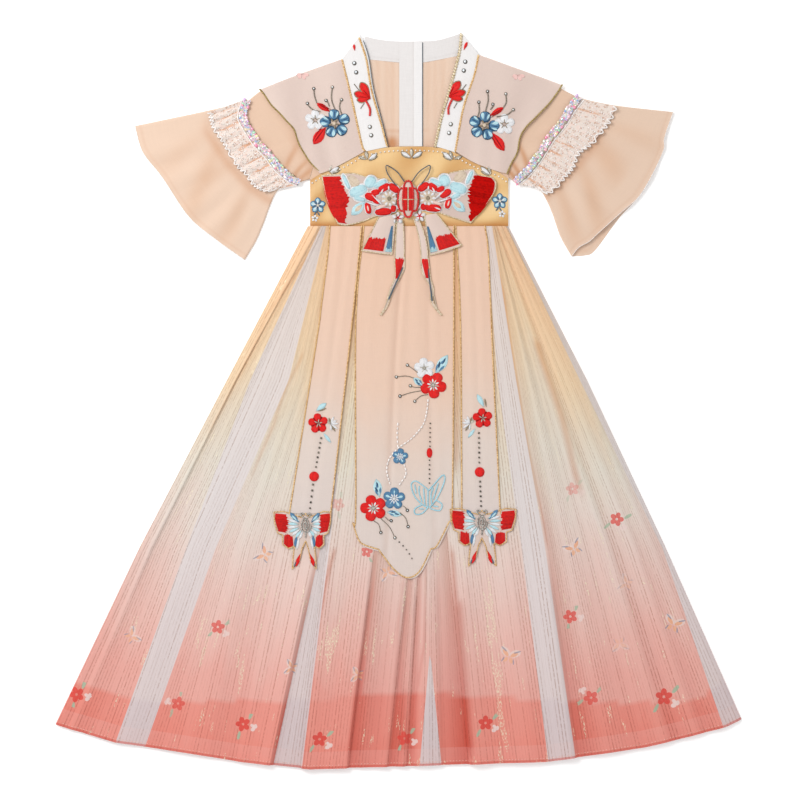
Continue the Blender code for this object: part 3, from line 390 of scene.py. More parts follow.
def sheet(name, slot, top, finish, node_name=None, on=(), **values):
    """A shell that is worn as cloth. It stands for the solid that its name begins with."""
    piece = shell(name, top, finish, **values)
    return worn(piece, slot, node_name or name.rsplit("_", 1)[0], cut=cut_of(top), on=on)


def tube(name, slot, front, back, low, height, finish, **values):
    """A flattened sleeve of thin cloth, open at both ends. The outer columns of front and back
    are the same: they are the folds along which the sleeve lies flat. Rows run along it."""
    rows, columns = front.shape[:2]
    across = np.append(0, np.cumsum(steps(front, 1).mean(0)))
    near = np.clip(np.minimum(across, across[-1] - across) / FOLD_RADIUS, 0, 1)
    rounded = np.sqrt(1 - (1 - near) ** 2)[None]
    middle = low + 1.3
    up = raised(front, middle + (low + height - middle) * rounded)
    down = raised(back, middle + (low - middle) * rounded)
    outer = np.concatenate([up, down[:, -2:0:-1]], axis=1)
    loop = outer.shape[1]
    wrapped = np.concatenate([outer[:, -1:], outer, outer[:, :1]], axis=1)
    normal = unit(np.cross(np.gradient(outer, axis=0), (wrapped[:, 2:] - wrapped[:, :-2]) / 2))
    inner = outer - WALL * normal * np.sign(normal[:, :columns, 2].mean())
    count = rows * loop
    r, c = np.meshgrid(np.arange(rows - 1), np.arange(loop), indexing="ij")
    i, j = (r * loop + c).ravel(), (r * loop + (c + 1) % loop).ravel()
    faces = np.stack([i, i + loop, j + loop, j], 1)
    faces = [*faces.tolist(), *(faces[:, ::-1] + count).tolist()]
    for start in (0, count - loop):
        ends = [(start + c, start + (c + 1) % loop) for c in range(loop)]
        faces += [(a, b, count + b, count + a) for a, b in ends]
    for key, value in values.items():
        value = np.broadcast_to(value, (rows, columns))
        value = np.concatenate([value, value[:, -2:0:-1]], axis=1).ravel()
        values[key] = np.concatenate([value] * 2)
    points = np.concatenate([outer, inner]).reshape(-1, 3)
    piece = build(name, points, faces, [finish], np.concatenate([on_cloth(outer)] * 2), **values)
    worn(piece, slot, name.rsplit("_", 1)[0], cut=cut_of(np.concatenate([outer, outer[:, :1]], axis=1)))
    return outer


class Ground:
    """The upper surface of some pieces: what is sewn on them is laid on it."""

    def __init__(self, *pieces):
        points, faces = [], []
        for piece in pieces:
            start = len(points)
            points += [vertex.co[:] for vertex in piece.data.vertices]
            faces += [[start + k for k in face.vertices] for face in piece.data.polygons]
        self.tree = BVHTree.FromPolygons(points, faces)

    def lay(self, points, lift):
        """Flat points laid on the surface, lift above it."""
        found = np.zeros((*np.shape(points)[:-1], 3))
        found[..., :2] = np.asarray(points, float)[..., :2]
        for place in found.reshape(-1, 3):
            x, y = place[:2] * MM
            hit = self.tree.ray_cast(Vector((x, y, 0.1)), Vector((0, 0, -1)))[0]
            if hit is None:
                hit = self.tree.find_nearest(Vector((x, y, 0.01)))[0]
            place[2] = hit.z / MM + lift
        return found


# ---------------------------------------------------------------- node trees
def hex_colour(code):
    """An sRGB hex value as the linear colour that a socket takes."""
    parts = [int(code[k:k + 2], 16) / 255 for k in (1, 3, 5)]
    return (*(c / 12.92 if c <= 0.04045 else ((c + 0.055) / 1.055) ** 2.4 for c in parts), 1)


def node(tree, kind, *values, out=None, stops=(), **named):
    """Adds one node and gives its first output in use, or the one that out names. Its inputs take
    values or outputs: in order, or by a name that begins with a capital. Names in lower case are
    its settings, and stops are the places and colours of its ramp. A kind with no Node in it is
    that of a shader node."""
    made = tree.nodes.new(kind if "Node" in kind else f"ShaderNode{kind}")
    for key, value in named.items():
        if key[0].islower():
            setattr(made, key, value)
    links = [*zip([socket for socket in made.inputs if socket.enabled], values)]
    links += [(made.inputs[key.replace("_", " ")], value) for key, value in named.items()
        if key[0].isupper()]
    for socket, value in links:
        if isinstance(value, bpy.types.NodeSocket):
            tree.links.new(value, socket)
        else:
            socket.default_value = value
    for k, (place, colour) in enumerate(stops):
        ramp = made.color_ramp.elements
        element = ramp[k] if k < len(ramp) else ramp.new(1)
        element.position, element.color = place, hex_colour(colour)
    return made.outputs[out] if out else next((o for o in made.outputs if o.enabled), None)


# What the nodes for sums, comparisons and mixed colours are set to.
PLUS, TIMES, FUSED = {"operation": "ADD"}, {"operation": "MULTIPLY"}, {"operation": "MULTIPLY_ADD"}
ABOVE, BELOW = {"operation": "GREATER_THAN"}, {"operation": "LESS_THAN"}
RGBA = {"data_type": "RGBA"}


def new_group(name, **inputs):
    """A geometry tree with its inputs by name and kind of socket, and what adds nodes to it."""
    tree = bpy.data.node_groups.new(name, "GeometryNodeTree")
    for key, kind in {"Geometry": "Geometry", **inputs}.items():
        tree.interface.new_socket(key, in_out="INPUT", socket_type=f"NodeSocket{kind}")
    tree.interface.new_socket("Geometry", in_out="OUTPUT", socket_type="NodeSocketGeometry")
    return tree, partial(node, tree), node(tree, "NodeGroupInput").node.outputs


def close_group(tree, geometry, finish):
    real = node(tree, "GeometryNodeRealizeInstances", geometry)
    node(tree, "NodeGroupOutput", node(tree, "GeometryNodeSetMaterial", real, Material=finish))
    return tree


def beads_tree():
    """Rounded grains at even steps along lines: rope twists, stitches, pearls and sequins."""
    tree, add, given = new_group("grains_along_a_line", Step="Float", Radius="Float", Stretch="Float",
        Height="Float", Slant="Float", Uneven="Float", Seed="Int", Material="Material")
    line = add("GeometryNodeMeshToCurve", given["Geometry"])
    places = add("GeometryNodeResampleCurve", line, Length=given["Step"], mode="LENGTH")
    way = add("FunctionNodeAlignRotationToVector", Vector=add("GeometryNodeInputTangent"), axis="X")
    slant = add("CombineXYZ", Z=given["Slant"])
    leaning = add("FunctionNodeRotateRotation", way, slant, rotation_space="LOCAL")
    spread = add("FunctionNodeRandomValue", -1, 1, Seed=given["Seed"], data_type="FLOAT")
    change = add("Math", spread, given["Uneven"], 1, **FUSED)
    radius = add("Math", change, given["Radius"], **TIMES)
    form = add("CombineXYZ", given["Stretch"], 1, given["Height"])
    size = add("VectorMath", form, radius, operation="SCALE")
    grain = add("GeometryNodeMeshUVSphere", 8, 5, 1)
    soft = add("GeometryNodeSetShadeSmooth", grain)
    rows = add("GeometryNodeInstanceOnPoints", places, Instance=soft, Rotation=leaning, Scale=size)
    return close_group(tree, rows, given["Material"])


def threads_tree():
    """Round threads along every edge of a net or line."""
    tree, add, given = new_group("threads_along_edges", Radius="Float", Sides="Int", Material="Material")
    line = add("GeometryNodeMeshToCurve", given["Geometry"])
    ring = add("GeometryNodeCurvePrimitiveCircle", given["Sides"], Radius=given["Radius"])
    thread = add("GeometryNodeCurveToMesh", line, ring, Fill_Caps=True)
    return close_group(tree, add("GeometryNodeSetShadeSmooth", thread), given["Material"])


def scatter_tree():
    """Small flat discs strewn over a surface and tilted at random."""
    tree, add, given = new_group("discs_on_a_surface", Density="Float", Radius="Float", Tilt="Float",
        Seed="Int", Material="Material")
    spots = add("GeometryNodeDistributePointsOnFaces", given["Geometry"], Density=given["Density"],
        Seed=given["Seed"])
    least, most = (add("VectorMath", (way, way, 0), given["Tilt"], operation="SCALE") for way in (-1, 1))
    lean = add("FunctionNodeRandomValue", least, most, Seed=given["Seed"], data_type="FLOAT_VECTOR")
    tilted = add("FunctionNodeRotateRotation", spots.node.outputs["Rotation"], lean, rotation_space="LOCAL")
    disc = add("GeometryNodeMeshCylinder", 6, Radius=given["Radius"], Depth=0.3 * MM)
    rows = add("GeometryNodeInstanceOnPoints", spots, Instance=disc, Rotation=tilted)
    return close_group(tree, rows, given["Material"])


def grown(name, slot, source, tree, **inputs):
    """What a geometry tree makes from source, as a plain mesh that is worn. source is removed."""
    modifier = source.modifiers.new("tree", "NODES")
    modifier.node_group = tree
    for socket in tree.interface.items_tree:
        if socket.in_out == "INPUT" and socket.name in inputs:
            value = inputs[socket.name]
            modifier[socket.identifier] = float(value) if socket.socket_type == "NodeSocketFloat" else value
    source.update_tag()
    result = source.evaluated_get(bpy.context.evaluated_depsgraph_get())
    mesh = bpy.data.meshes.new_from_object(result)
    mesh.name = name
    source.modifiers.remove(modifier)
    bpy.data.objects.remove(source, do_unlink=True)
    return worn(placed(name, mesh), slot)


def wires(lines):
    """One object whose edges follow some lines of points in millimetres."""
    points, edges = [], []
    for line in lines:
        start = len(points)
        points += (np.asarray(line, float) * MM).tolist()
        edges += [(k, k + 1) for k in range(start, len(points) - 1)]
    mesh = bpy.data.meshes.new("lines")
    mesh.from_pydata(points, edges, [])
    return placed("lines", mesh)


def grains(name, slot, lines, finish, step, radius, stretch=1, height=1, slant=0, uneven=0.08):
    return grown(name, slot, wires(lines), GRAINS, Step=step * MM, Radius=radius * MM, Stretch=stretch,
        Height=height, Slant=radians(slant), Uneven=uneven, Seed=3, Material=finish)


def rope(name, lines, finish, radius, slot="gold_cord"):
    """Twisted cord: slanting grains that overlap along the line."""
    return grains(name, slot, lines, finish, 2.1 * radius, radius, 1.75, 1, 38, 0.05)


def threads(name, slot, lines, finish, radius, sides=6):
    return grown(name, slot, wires(lines), THREADS, Radius=radius * MM, Sides=sides, Material=finish)


# ---------------------------------------------------------------- finishes
def started(name):
    """A finish with an empty tree, and what adds nodes to it."""
    made = bpy.data.materials.new(name)
    made.use_nodes = True
    made.node_tree.nodes.clear()
    return made, partial(node, made.node_tree)


def ended(add, colour, height, depth, roughness, **sockets):
    """Closes a finish: height, in parts of depth millimetres, gives its relief."""
    normal = add("Bump", Height=height, Distance=depth * MM)
    add("OutputMaterial", add("BsdfPrincipled", colour, Roughness=roughness, Normal=normal, **sockets))


def streaks(add, place, across, along, detail=2):
    """Noise that is drawn out along the cloth: grain sizes across and along in millimetres."""
    drawn = add("Mapping", place, Scale=(1 / (across * MM), 1 / (along * MM), 1))
    return add("TexNoise", drawn, Scale=1, Detail=detail)


def woven(name, stops, deep, pitch, depth, roughness, unevenness=0.1, **sockets):
    """A plain weave. stops colour it by the value tone, and deep is the colour of painted shade, mixed in
    by the shade value; pitch is the thread spacing and depth the relief, in millimetres."""
    made, add = started(name)
    place = add("UVMap", uv_map="cloth")
    warp, weft = (add("Math", add("Math", way, 2 * pi / (pitch * MM), **TIMES), operation="SINE")
        for way in add("SeparateXYZ", place).node.outputs[:2])
    uneven = add("Math", streaks(add, place, 1.4 * pitch, 22 * pitch),
        streaks(add, place, 26 * pitch, 1.6 * pitch), **PLUS)
    tone, recess = (add("Attribute", attribute_name=key, out="Fac") for key in ("tone", "recess"))
    tone = add("Math", tone, add("Math", streaks(add, place, 60, 60, 3), 0.1, -0.05, **FUSED), **PLUS)
    colour = add("Mix", recess, add("ValToRGB", tone, stops=stops), hex_colour(deep), **RGBA)
    light = add("Math", uneven, unevenness, 1 - unevenness, **FUSED)
    colour = add("Mix", 1, colour, add("CombineColor", light, light, light), blend_type="MULTIPLY", **RGBA)
    height = add("Math", uneven, 1.2, add("Math", add("Math", warp, weft, **TIMES), 0.3, **TIMES), **FUSED)
    ended(add, colour, height, depth, roughness, **sockets)
    return made


# A printed shape: the kind of print it is part of, its middle, half sizes, turn and colour.
Shape = namedtuple("Shape", "kind x y half_width half_length turn colour")
BLOSSOM, MOTH = 1, 2
PETALS = [Shape(BLOSSOM, 5.8 * cos(radians(t)), 5.8 * sin(radians(t)), 4.3, 3.5, t, "#E2473C")
    for t in (90, 162, 234, 306, 18)]
LEAVES = [Shape(BLOSSOM, *row) for row in [(14, 9.5, 6.4, 2.3, 50, "#A9BFA4"),
    (-9.5, -13.5, 6, 2, 62, "#A9BFA4"), (11.5, -10, 3.4, 2.6, 20, "#F1D9D3"),
    (16, -7, 3, 2.3, 80, "#F1D9D3"), (12, -5.2, 3, 2.2, 130, "#F1D9D3")]]
# One side of a moth, with its turn away from straight up.
HALF_MOTH = [(6.5, 5.2, 7.6, 4.6, -55, "#EFD9D2"), (5.6, 3.6, 5.4, 2.4, -50, "#F0A878"),
    (3.6, -4.6, 3.6, 2.3, 30, "#F2B48C"), (8.8, 8, 4.8, 1, -60, "#8E93A6"),
    (7, -5.5, 3.6, 0.9, 20, "#8E93A6")]
WINGS = [Shape(MOTH, way * x, y, *half, 90 + way * turn, colour) for x, y, *half, turn, colour in HALF_MOTH
    for way in (-1, 1)]
# The dye of the cloth; the colour of its recesses, made deeper by doubled layers and by painted shade;
# and the dye of its ribbons, from the waist to the hem.
DYED = [(0, "#FACB94"), (0.1, "#F9D09A"), (0.24, "#F2D4A6"), (0.36, "#E8DAC0"), (0.46, "#E6E0D1"),
    (0.56, "#EADBD1"), (0.66, "#ECC9BF"), (0.76, "#EFB8AC"), (0.86, "#F09E90"), (0.94, "#F19A8B"),
    (1, "#F08E7E")]
DOUBLED_AND_SHADED = [(0, "#E09340"), (0.25, "#DDA25E"), (0.45, "#D0A888"), (0.6, "#CC907A"), (0.72, "#CE7763"),
    (0.84, "#D25F4D"), (1, "#D2523F")]
WHITE_DYED = [(0, "#E4D8D3"), (0.5, "#E2DBDC"), (0.8, "#DFD5D7"), (1, "#DBD0D1")]


def printed_gauze():
    """Polyester crinkle gauze, dyed in bands from yellow at the waist to coral at the hem, with
    darker threads drawn in, gold metal threads painted pale where they glint here and there, a painted
    highlight, a small print, and painted shade in its pleats and creases."""
    made, add = started("printed_gauze")
    place = add("UVMap", uv_map="cloth")
    across = add("SeparateXYZ", place)
    share, recess, ribbon, lined, down, glint, ink = (add("Attribute", attribute_name=key, out="Fac")
        for key in ("tone", "recess", "ribbon", "lined", "down", "glint", "ink"))
    cloud = streaks(add, place, 34, 120, 3)
    tone = add("Math", share, add("Math", cloud, 0.12, -0.06, **FUSED), **PLUS)
    colour, deep, white = (add("ValToRGB", tone, stops=stops) for stops in (DYED, DOUBLED_AND_SHADED, WHITE_DYED))
    on_ribbon = add("Math", ribbon, 0.5, **ABOVE)
    turn_up = add("Math", down, 0.968, **ABOVE)
    rolled_edge = add("Math", down, 0.9955, **ABOVE)
    # Painted shade deepens the colour in the pleats and creases, where doubled layers also make it deeper.
    # The cream lining shows through the gauze down to its own hem, and the hem is rolled.
    colour = add("Mix", recess, colour, deep, **RGBA)
    for part, strength, over in ((on_ribbon, 0.92, white), (lined, 0.24, hex_colour("#F2E4DC")),
            (turn_up, 0.14, hex_colour("#F4CFC8")), (rolled_edge, 0.6, hex_colour("#D2503F"))):
        colour = add("Mix", add("Math", part, strength, **TIMES), colour, over, **RGBA)
    # A drawn-in thread shows every 4.4 mm, coarser than the real 1 mm spacing.
    line = add("Math", across, 4.4 * MM, operation="DIVIDE")
    which = add("Math", line, operation="FLOOR")
    middle = add("Math", add("Math", line, operation="FRACT"), 0.5, operation="SUBTRACT")
    thin = add("Math", add("Math", middle, operation="ABSOLUTE"), 0.13, **BELOW)
    chance = add("TexWhiteNoise", W=which, noise_dimensions="1D")
    broken = add("Math", streaks(add, place, 4.4, 3.2, 1), 0.46, **ABOVE)
    drawn = add("Math", add("Math", thin, chance, **TIMES), add("Math", broken, 0.7, 0.3, **FUSED), **TIMES)
    colour = add("Mix", add("Math", drawn, 0.8, **TIMES), colour, hex_colour("#D9C4B8"),
        blend_type="MULTIPLY", **RGBA)
    # The gold metal threads are real, but painted pale where they glint: a painted highlight.
    runs = add("Math", add("Math", glint, 0.16, streaks(add, place, 7, 60), **FUSED), 0.66, **ABOVE)
    glints = add("Math", streaks(add, place, 1.2, 3.6, 1), 0.54, **ABOVE)
    off_ribbon = add("Math", 1, on_ribbon, operation="SUBTRACT")
    lurex = add("Math", add("Math", glints, runs, **TIMES), off_ribbon, **TIMES)
    colour = add("Mix", add("Math", lurex, 0.7, **TIMES), colour, hex_colour("#FBF0D0"), **RGBA)
    local = add("Attribute", attribute_name="print_at", out="Vector")
    kind = add("SeparateXYZ", local).node.outputs[2]
    share_of = {k: add("Math", add("Math", kind, k, 0.2, operation="COMPARE"), ink, **TIMES)
        for k in (BLOSSOM, MOTH)}
    for shape in [*LEAVES, *PETALS, *WINGS]:
        middle = add("Mapping", local, (shape.x, shape.y, 0), (0, 0, radians(shape.turn)),
            (shape.half_width, shape.half_length, 1000), vector_type="TEXTURE")
        inside = add("Math", add("VectorMath", middle, operation="LENGTH"), 1, **BELOW)
        inked = add("Math", inside, share_of[shape.kind], **TIMES)
        colour = add("Mix", inked, colour, hex_colour(shape.colour), **RGBA)
    crinkle = streaks(add, place, 1.6, 26, 3)
    height = add("Math", crinkle, 1.6, add("Math", drawn, -0.8, **TIMES), **FUSED)
    ended(add, colour, height, 0.35, add("Math", lurex, -0.45, 0.78, **FUSED),
        Metallic=add("Math", lurex, 0.4, **TIMES), Alpha=0.74, Sheen_Weight=0.1, Sheen_Roughness=0.4)
    return made


def floss(name, light, dark, roughness=0.45, metallic=0, gloss=0.35):
    """Satin stitch: rayon or metal thread laid side by side, with painted shade between the threads and
    each thread lighter or darker at random.
    The real threads lie 0.4 mm apart and are drawn 0.7 mm apart so that they show."""
    made, add = started(name)
    place = add("UVMap", uv_map="cloth")
    line = add("Math", add("SeparateXYZ", place), 0.7 * MM, operation="DIVIDE")
    ridge = add("Math", add("Math", add("Math", line, pi, **TIMES), operation="SINE"), operation="ABSOLUTE")
    chance = add("TexWhiteNoise", W=add("Math", line, operation="FLOOR"), noise_dimensions="1D")
    spots = add("TexNoise", place, Scale=1 / (3 * MM), Detail=3)
    share = add("Math", add("Math", ridge, 0.45, **TIMES), add("Math", chance, 0.35, -0.45, **FUSED),
        **PLUS)
    share = add("Math", spots, 1.3, share, **FUSED)
    colour = add("ValToRGB", share, stops=[(0.15, dark), (0.75, light)])
    ended(add, colour, ridge, 0.3, roughness, Metallic=metallic, Specular_IOR_Level=gloss)
    return made


def lace_net():
    """Lace ground: off-white cotton yarn worked round irregular eyes about 3 mm across, through
    which the sleeve shows; painted shade makes it peach in the depth of the gathers."""
    made, add = started("lace_net")
    place = add("UVMap", uv_map="cloth")
    round_eyes = [add("Math", add("TexVoronoi", place, Scale=1 / (size * MM), feature="DISTANCE_TO_EDGE"),
        width, **BELOW) for size, width in ((3.4, 0.15), (7.5, 0.13))]
    fuzz = add("Math", streaks(add, place, 1.5, 1.5), 0.56, **ABOVE)
    yarn = add("Math", add("Math", add("Math", *round_eyes, **PLUS), fuzz, **PLUS), 1, operation="MINIMUM")
    colour = add("Mix", yarn, hex_colour("#D9B098"), hex_colour("#E2D4CA"), **RGBA)
    blush = add("Math", add("Math", streaks(add, place, 5, 5, 1), 0.55, **ABOVE), 0.35, **TIMES)
    colour = add("Mix", blush, colour, hex_colour("#EBC9BD"), **RGBA)
    deep = add("Attribute", attribute_name="recess", out="Fac")
    colour = add("Mix", deep, colour, hex_colour("#D9A584"), **RGBA)
    ended(add, colour, yarn, 0.4, 0.75, Alpha=add("Math", yarn, 0.1, 0.86, **FUSED))
    return made


def cord(name, light, dark, roughness, metallic=0):
    """Yarn wound round a core, mottled at random from light to dark: the dark is painted shade for the gaps
    between the grains.
    """
    made, add = started(name)
    spots = add("TexNoise", add("TexCoord", out="Object"), Scale=1 / (1.6 * MM), Detail=2)
    colour = add("ValToRGB", spots, stops=[(0.35, dark), (0.62, light)])
    ended(add, colour, spots, 0.2, roughness, Metallic=metallic)
    return made


def solid_bead(name, stops, roughness, **sockets):
    """Beads, stones and sequins: each one takes its own colour from stops."""
    made, add = started(name)
    each = add("NewGeometry", out="Random Per Island")
    worn_face = add("TexNoise", add("TexCoord", out="Object"), Scale=1 / (2.5 * MM))
    ended(add, add("ValToRGB", each, stops=stops), worn_face, 0.05, roughness, **sockets)
    return made


GRAINS, THREADS, DISCS = beads_tree(), threads_tree(), scatter_tree()

GAUZE = printed_gauze()
# Polyester pongee: a smooth close weave, cream, with little gloss.
LINING = woven("lining_pongee", [(0, "#F6EEE2"), (1, "#F4ECE8")], "#D9C9BC", 1.2, 0.1, 0.6)
# Duchess satin: floats of gold weft give a soft gloss; the cloth is slightly crumpled.
SATIN = woven("gold_satin", [(0, "#D2A566"), (0.5, "#E2BC82"), (1, "#EBCA96")], "#B87830", 0.9, 0.12, 0.42,
    0.06, Specular_IOR_Level=0.6, Sheen_Weight=0.2)
# Chiffon: hard-twisted polyester in an open plain weave, matt and a little see-through.
CHIFFON = woven("peach_chiffon", [(0, "#E6CAB4"), (0.5, "#E0BDA2"), (1, "#D5A684")], "#C98C5E", 1.1, 0.1,
    0.7, 0.05, Sheen_Weight=0.3, Alpha=0.86)
# Organza: fine stiff threads with a faint pearl gloss, dyed from peach to pale pink.
ORGANZA = woven("pink_organza", [(0, "#F3CCB0"), (0.35, "#F2D3BE"), (0.5, "#EBDBD1"), (0.75, "#E4D8D5"),
    (1, "#E0D6D6")], "#C9A08A", 1, 0.08, 0.5, 0.05, Sheen_Weight=0.4, Alpha=0.66)
# The cape and the bow are the same organza in one greyer pink, over a stiffener.
CAPE_ORGANZA = woven("greyed_pink_organza", [(0, "#E6D1C6"), (1, "#DAC3B9")], "#C4A79B", 1, 0.08, 0.5, 0.05,
    Sheen_Weight=0.4, Alpha=0.74)
# Cotton sateen, bleached: smooth, with a fine diagonal-free close weave.
SATEEN = woven("white_sateen", [(0, "#E0DDDC"), (1, "#D6D1CF")], "#B9B0AC", 0.9, 0.1, 0.6)
NET = lace_net()
RED = floss("red_floss", "#E6100A", "#A4060A", 0.55)
SHADED_RED = floss("shaded_red_floss", "#D20A04", "#8A0402", 0.75, gloss=0.08)
DEEP_RED = floss("deep_red_floss", "#A01012", "#6E080A", 0.6, gloss=0.15)
BLUE = floss("blue_floss", "#5886AA", "#325C80")
DEEP_BLUE = floss("deep_blue_floss", "#2C5272", "#1B3850")
SKY = floss("sky_floss", "#BFE0E6", "#8FBFCC")
WHITE = floss("white_floss", "#ECEBEC", "#BCC0C6")
PINK = floss("pink_floss", "#EDD2C8", "#D5A79B")
TAN = floss("tan_floss", "#D9C7B2", "#B39B80")
PALE_ROSE = floss("pale_rose_floss", "#E9C3BC", "#E2AFA8")
STEM_FLOSS = floss("stem_floss", "#9A8A72", "#63543F")
SLATE = floss("slate_floss", "#5F6E7B", "#34404B", 0.5)
SILVER = floss("silver_floss", "#CFC9BC", "#7F776A", 0.35, 0.4)
GOLD = cord("gold_cord", "#EFCF98", "#B07E42", 0.42, 0.3)
PALE_GOLD = cord("pale_gold_cord", "#EBDFC6", "#B39B6C", 0.45, 0.35)
SILVER_CORD = cord("silver_cord", "#CFCBC4", "#6E6A64", 0.35, 0.65)
OLIVE = cord("olive_gold_cord", "#B9A266", "#7E6A36", 0.5, 0.3)
PINK_YARN = cord("pink_yarn", "#F1C9BC", "#D9988A", 0.7)
WHITE_YARN = cord("white_yarn", "#F7F3F1", "#D8CEC9", 0.7)
SLATE_YARN = cord("slate_yarn", "#5A6670", "#343C44", 0.6)
RED_YARN = cord("red_yarn", "#E0241C", "#9E1410", 0.5)
SKY_YARN = cord("sky_yarn", "#A9DBE8", "#7FB6C8", 0.6)
STEM_YARN = cord("stem_yarn", "#8F8577", "#5C5148", 0.6)
PEARL = solid_bead("seed_pearl", [(0, "#F2EDE6"), (1, "#DAD2C8")], 0.22, Coat_Weight=0.5)
HEMATITE = solid_bead("hematite_bead", [(0, "#4B4641"), (1, "#8D857A")], 0.25, Metallic=0.8)
# Vacuum-coated sequins: each catches the light in its own pastel.
SEQUIN = solid_bead("iridescent_sequin", [(0, "#EE86A8"), (0.12, "#F6DCE4"), (0.26, "#8FB2E4"),
    (0.38, "#F7F2EC"), (0.5, "#A9DEB4"), (0.6, "#D9A6E0"), (0.7, "#F5E9B0"), (0.8, "#5F5A66"),
    (0.88, "#F7F4F2"), (1, "#F09AAE")], 0.25, Metallic=0.15, Coat_Weight=0.5)
STONE = solid_bead("rhinestone_glass", [(0, "#E9EEF0"), (1, "#C9D2D8")], 0.06, Coat_Weight=1,
    Specular_IOR_Level=1)


# ---------------------------------------------------------------- skirt
def hem_y(x, hem):
    return np.interp(x, *zip(*hem))


def skirt_columns():
    """Fold values at every column of the cloth; a soft wave joins each line to the next."""
    columns = [FOLDS[0]]
    for a, b in zip(FOLDS, FOLDS[1:]):
        parts = max(2, int(round((b.hem - a.hem) / COLUMN_STEP)))
        for t in even(parts)[1:]:
            shares = [t] * 4 + [0.5 - 0.5 * cos(pi * t)] * 3
            columns.append([p + (q - p) * s for p, q, s in zip(a, b, shares)])
    return np.array(columns)


def down_line(places, y):
    """X at Y of a line whose X at waist, hip and knee are given."""
    return np.interp(-y, [-WAIST_Y, -HIP_Y, -KNEE_Y], places)


def skirt_grid(share, columns, hem):
    """X and Y of the skirt at shares of its length down to hem, for columns of fold values, and
    the share of the way from the knee to the outer hem."""
    knee, at_hem = columns[:, 2], columns[:, 3]
    foot = hem_y(at_hem, hem)
    if hem is not HEM:
        reach = (KNEE_Y - foot) / (KNEE_Y - hem_y(at_hem, HEM))
        foot = hem_y(knee + (at_hem - knee) * reach, hem)
    top = WAIST_Y - SEAM
    y = top - share[:, None] * (top - foot)[None]
    below = np.clip((KNEE_Y - y) / (KNEE_Y - hem_y(at_hem, HEM)), 0, 1)
    above = np.stack([down_line(columns[c, :3], y[:, c]) for c in range(len(columns))], axis=1)
    return np.where(y >= KNEE_Y, above, knee + (at_hem - knee) * below), y, below


def crease_heights(share, at_hem, creases):
    """Soft ridges and troughs on the cloth, which fade in and out along its length."""
    total = np.zeros((len(share), len(at_hem)))
    for crease in creases:
        span = np.clip((share - crease.first) / (crease.last - crease.first), 0, 1)
        middle = crease.start + (crease.end - crease.start) * span
        fade = np.where((share >= crease.first) & (share <= crease.last), np.sin(pi * span) ** 0.6, 0)
        if crease.last > 1:
            fade = np.where(span > 0.5, 1, fade) * (share >= crease.first)
        if crease.first <= 0:
            fade = np.where(span < 0.5, 1, fade) * (share <= crease.last)
        total += crease.rise * fade[:, None] * bell(at_hem[None], middle[:, None], crease.width)
    return total


def ribbon_value(x, y):
    """Above 0.5 on a white ribbon, below it elsewhere."""
    value = np.zeros_like(x)
    for ribbon in RIBBONS:
        edges = []
        for places in (ribbon.left, ribbon.right):
            knee, foot = places[2:]
            below = np.clip((KNEE_Y - y) / (KNEE_Y - hem_y(foot, HEM)), 0, 1)
            edges.append(np.where(y >= KNEE_Y, down_line(places[:3], y), knee + (foot - knee) * below))
        inside = np.minimum(x - edges[0], edges[1] - x)
        inside = np.where((WAIST_Y - y) / SKIRT_LENGTH > ribbon.start, inside, -9)
        value = np.maximum(value, np.clip(0.5 + inside / 8, 0, 1))
    return value


def shaded(x, y, shades):
    """How deep in shade each point lies, by its distance from the creases."""
    total = np.zeros_like(x)
    for shade in shades:
        line = np.array(shade.line, float)
        height = np.clip((line[0, 1] + 4 - y) / 12, 0, 1) * np.clip((y - line[-1, 1] + 4) / 40, 0, 1)
        middle = np.interp(-y, -line[:, 1], line[:, 0])
        total = np.maximum(total, shade.depth * smooth(height) * bell(x, middle, shade.width))
    return total


# Prints on the skirt: kind, middle, turn, scale and how strongly they are inked.
Print = namedtuple("Print", "kind x y turn scale ink")
PRINTS = [Print(BLOSSOM, *row) for row in [(-437, -399, 20, 1.05, 0.9), (-245, -307, -10, 0.95, 0.75),
    (-211, -439, 15, 1, 0.9), (-107, -459, -5, 1, 0.9), (8, -458, 10, 0.95, 0.85), (118, -437, 0, 1, 0.9),
    (233, -293, 25, 0.95, 0.8), (296, -161, -20, 0.95, 0.8), (360, -402, 0, 1.15, 0.9),
    (-299, -411, 200, 0.95, 0.7), (261, -403, 170, 1, 0.75), (-82, -141, 40, 0.9, 0.3),
    (236, -120, 10, 0.9, 0.35), (-43, -205, 60, 0.8, 0.7)]]
PRINTS += [Print(MOTH, *row) for row in [(-182, -209, 60, 1, 0.7), (-362, -320, -60, 0.9, 0.6),
    (-15, -233, 200, 0.9, 0.6), (-55, -372, 80, 0.8, 0.6), (150, -347, -15, 1.05, 0.7),
    (238, -201, 30, 1, 0.75), (373, -304, -20, 1.05, 0.75), (309, -248, 70, 0.9, 0.3),
    (300, -330, 190, 0.9, 0.3), (-145, -362, 75, 0.8, 0.7)]]
PRINT_REACH = 24  # no print reaches further from its middle, in millimetres


def print_values(x, y):
    """For each point its place in the nearest print, far outside where it is on none."""
    spots = np.array([(p.x, p.y) for p in PRINTS])
    apart = np.stack([x, y], axis=-1)[..., None, :] - spots
    nearest = np.linalg.norm(apart, axis=-1).argmin(-1)
    rows = np.array([(p.kind, p.turn, p.scale, p.ink) for p in PRINTS])[nearest]
    dx, dy = np.moveaxis(np.take_along_axis(apart, nearest[..., None, None], axis=-2)[..., 0, :], -1, 0)
    turn = np.radians(-rows[..., 1])
    along, up = dx * np.cos(turn) - dy * np.sin(turn), dx * np.sin(turn) + dy * np.cos(turn)
    local = np.stack([along, up], axis=-1)
    local /= rows[..., 2:3]
    far = np.linalg.norm(local, axis=-1, keepdims=True)
    local = np.where(far > PRINT_REACH, local * 20, local)
    return np.concatenate([local, rows[..., 0:1]], axis=-1), rows[..., 3]


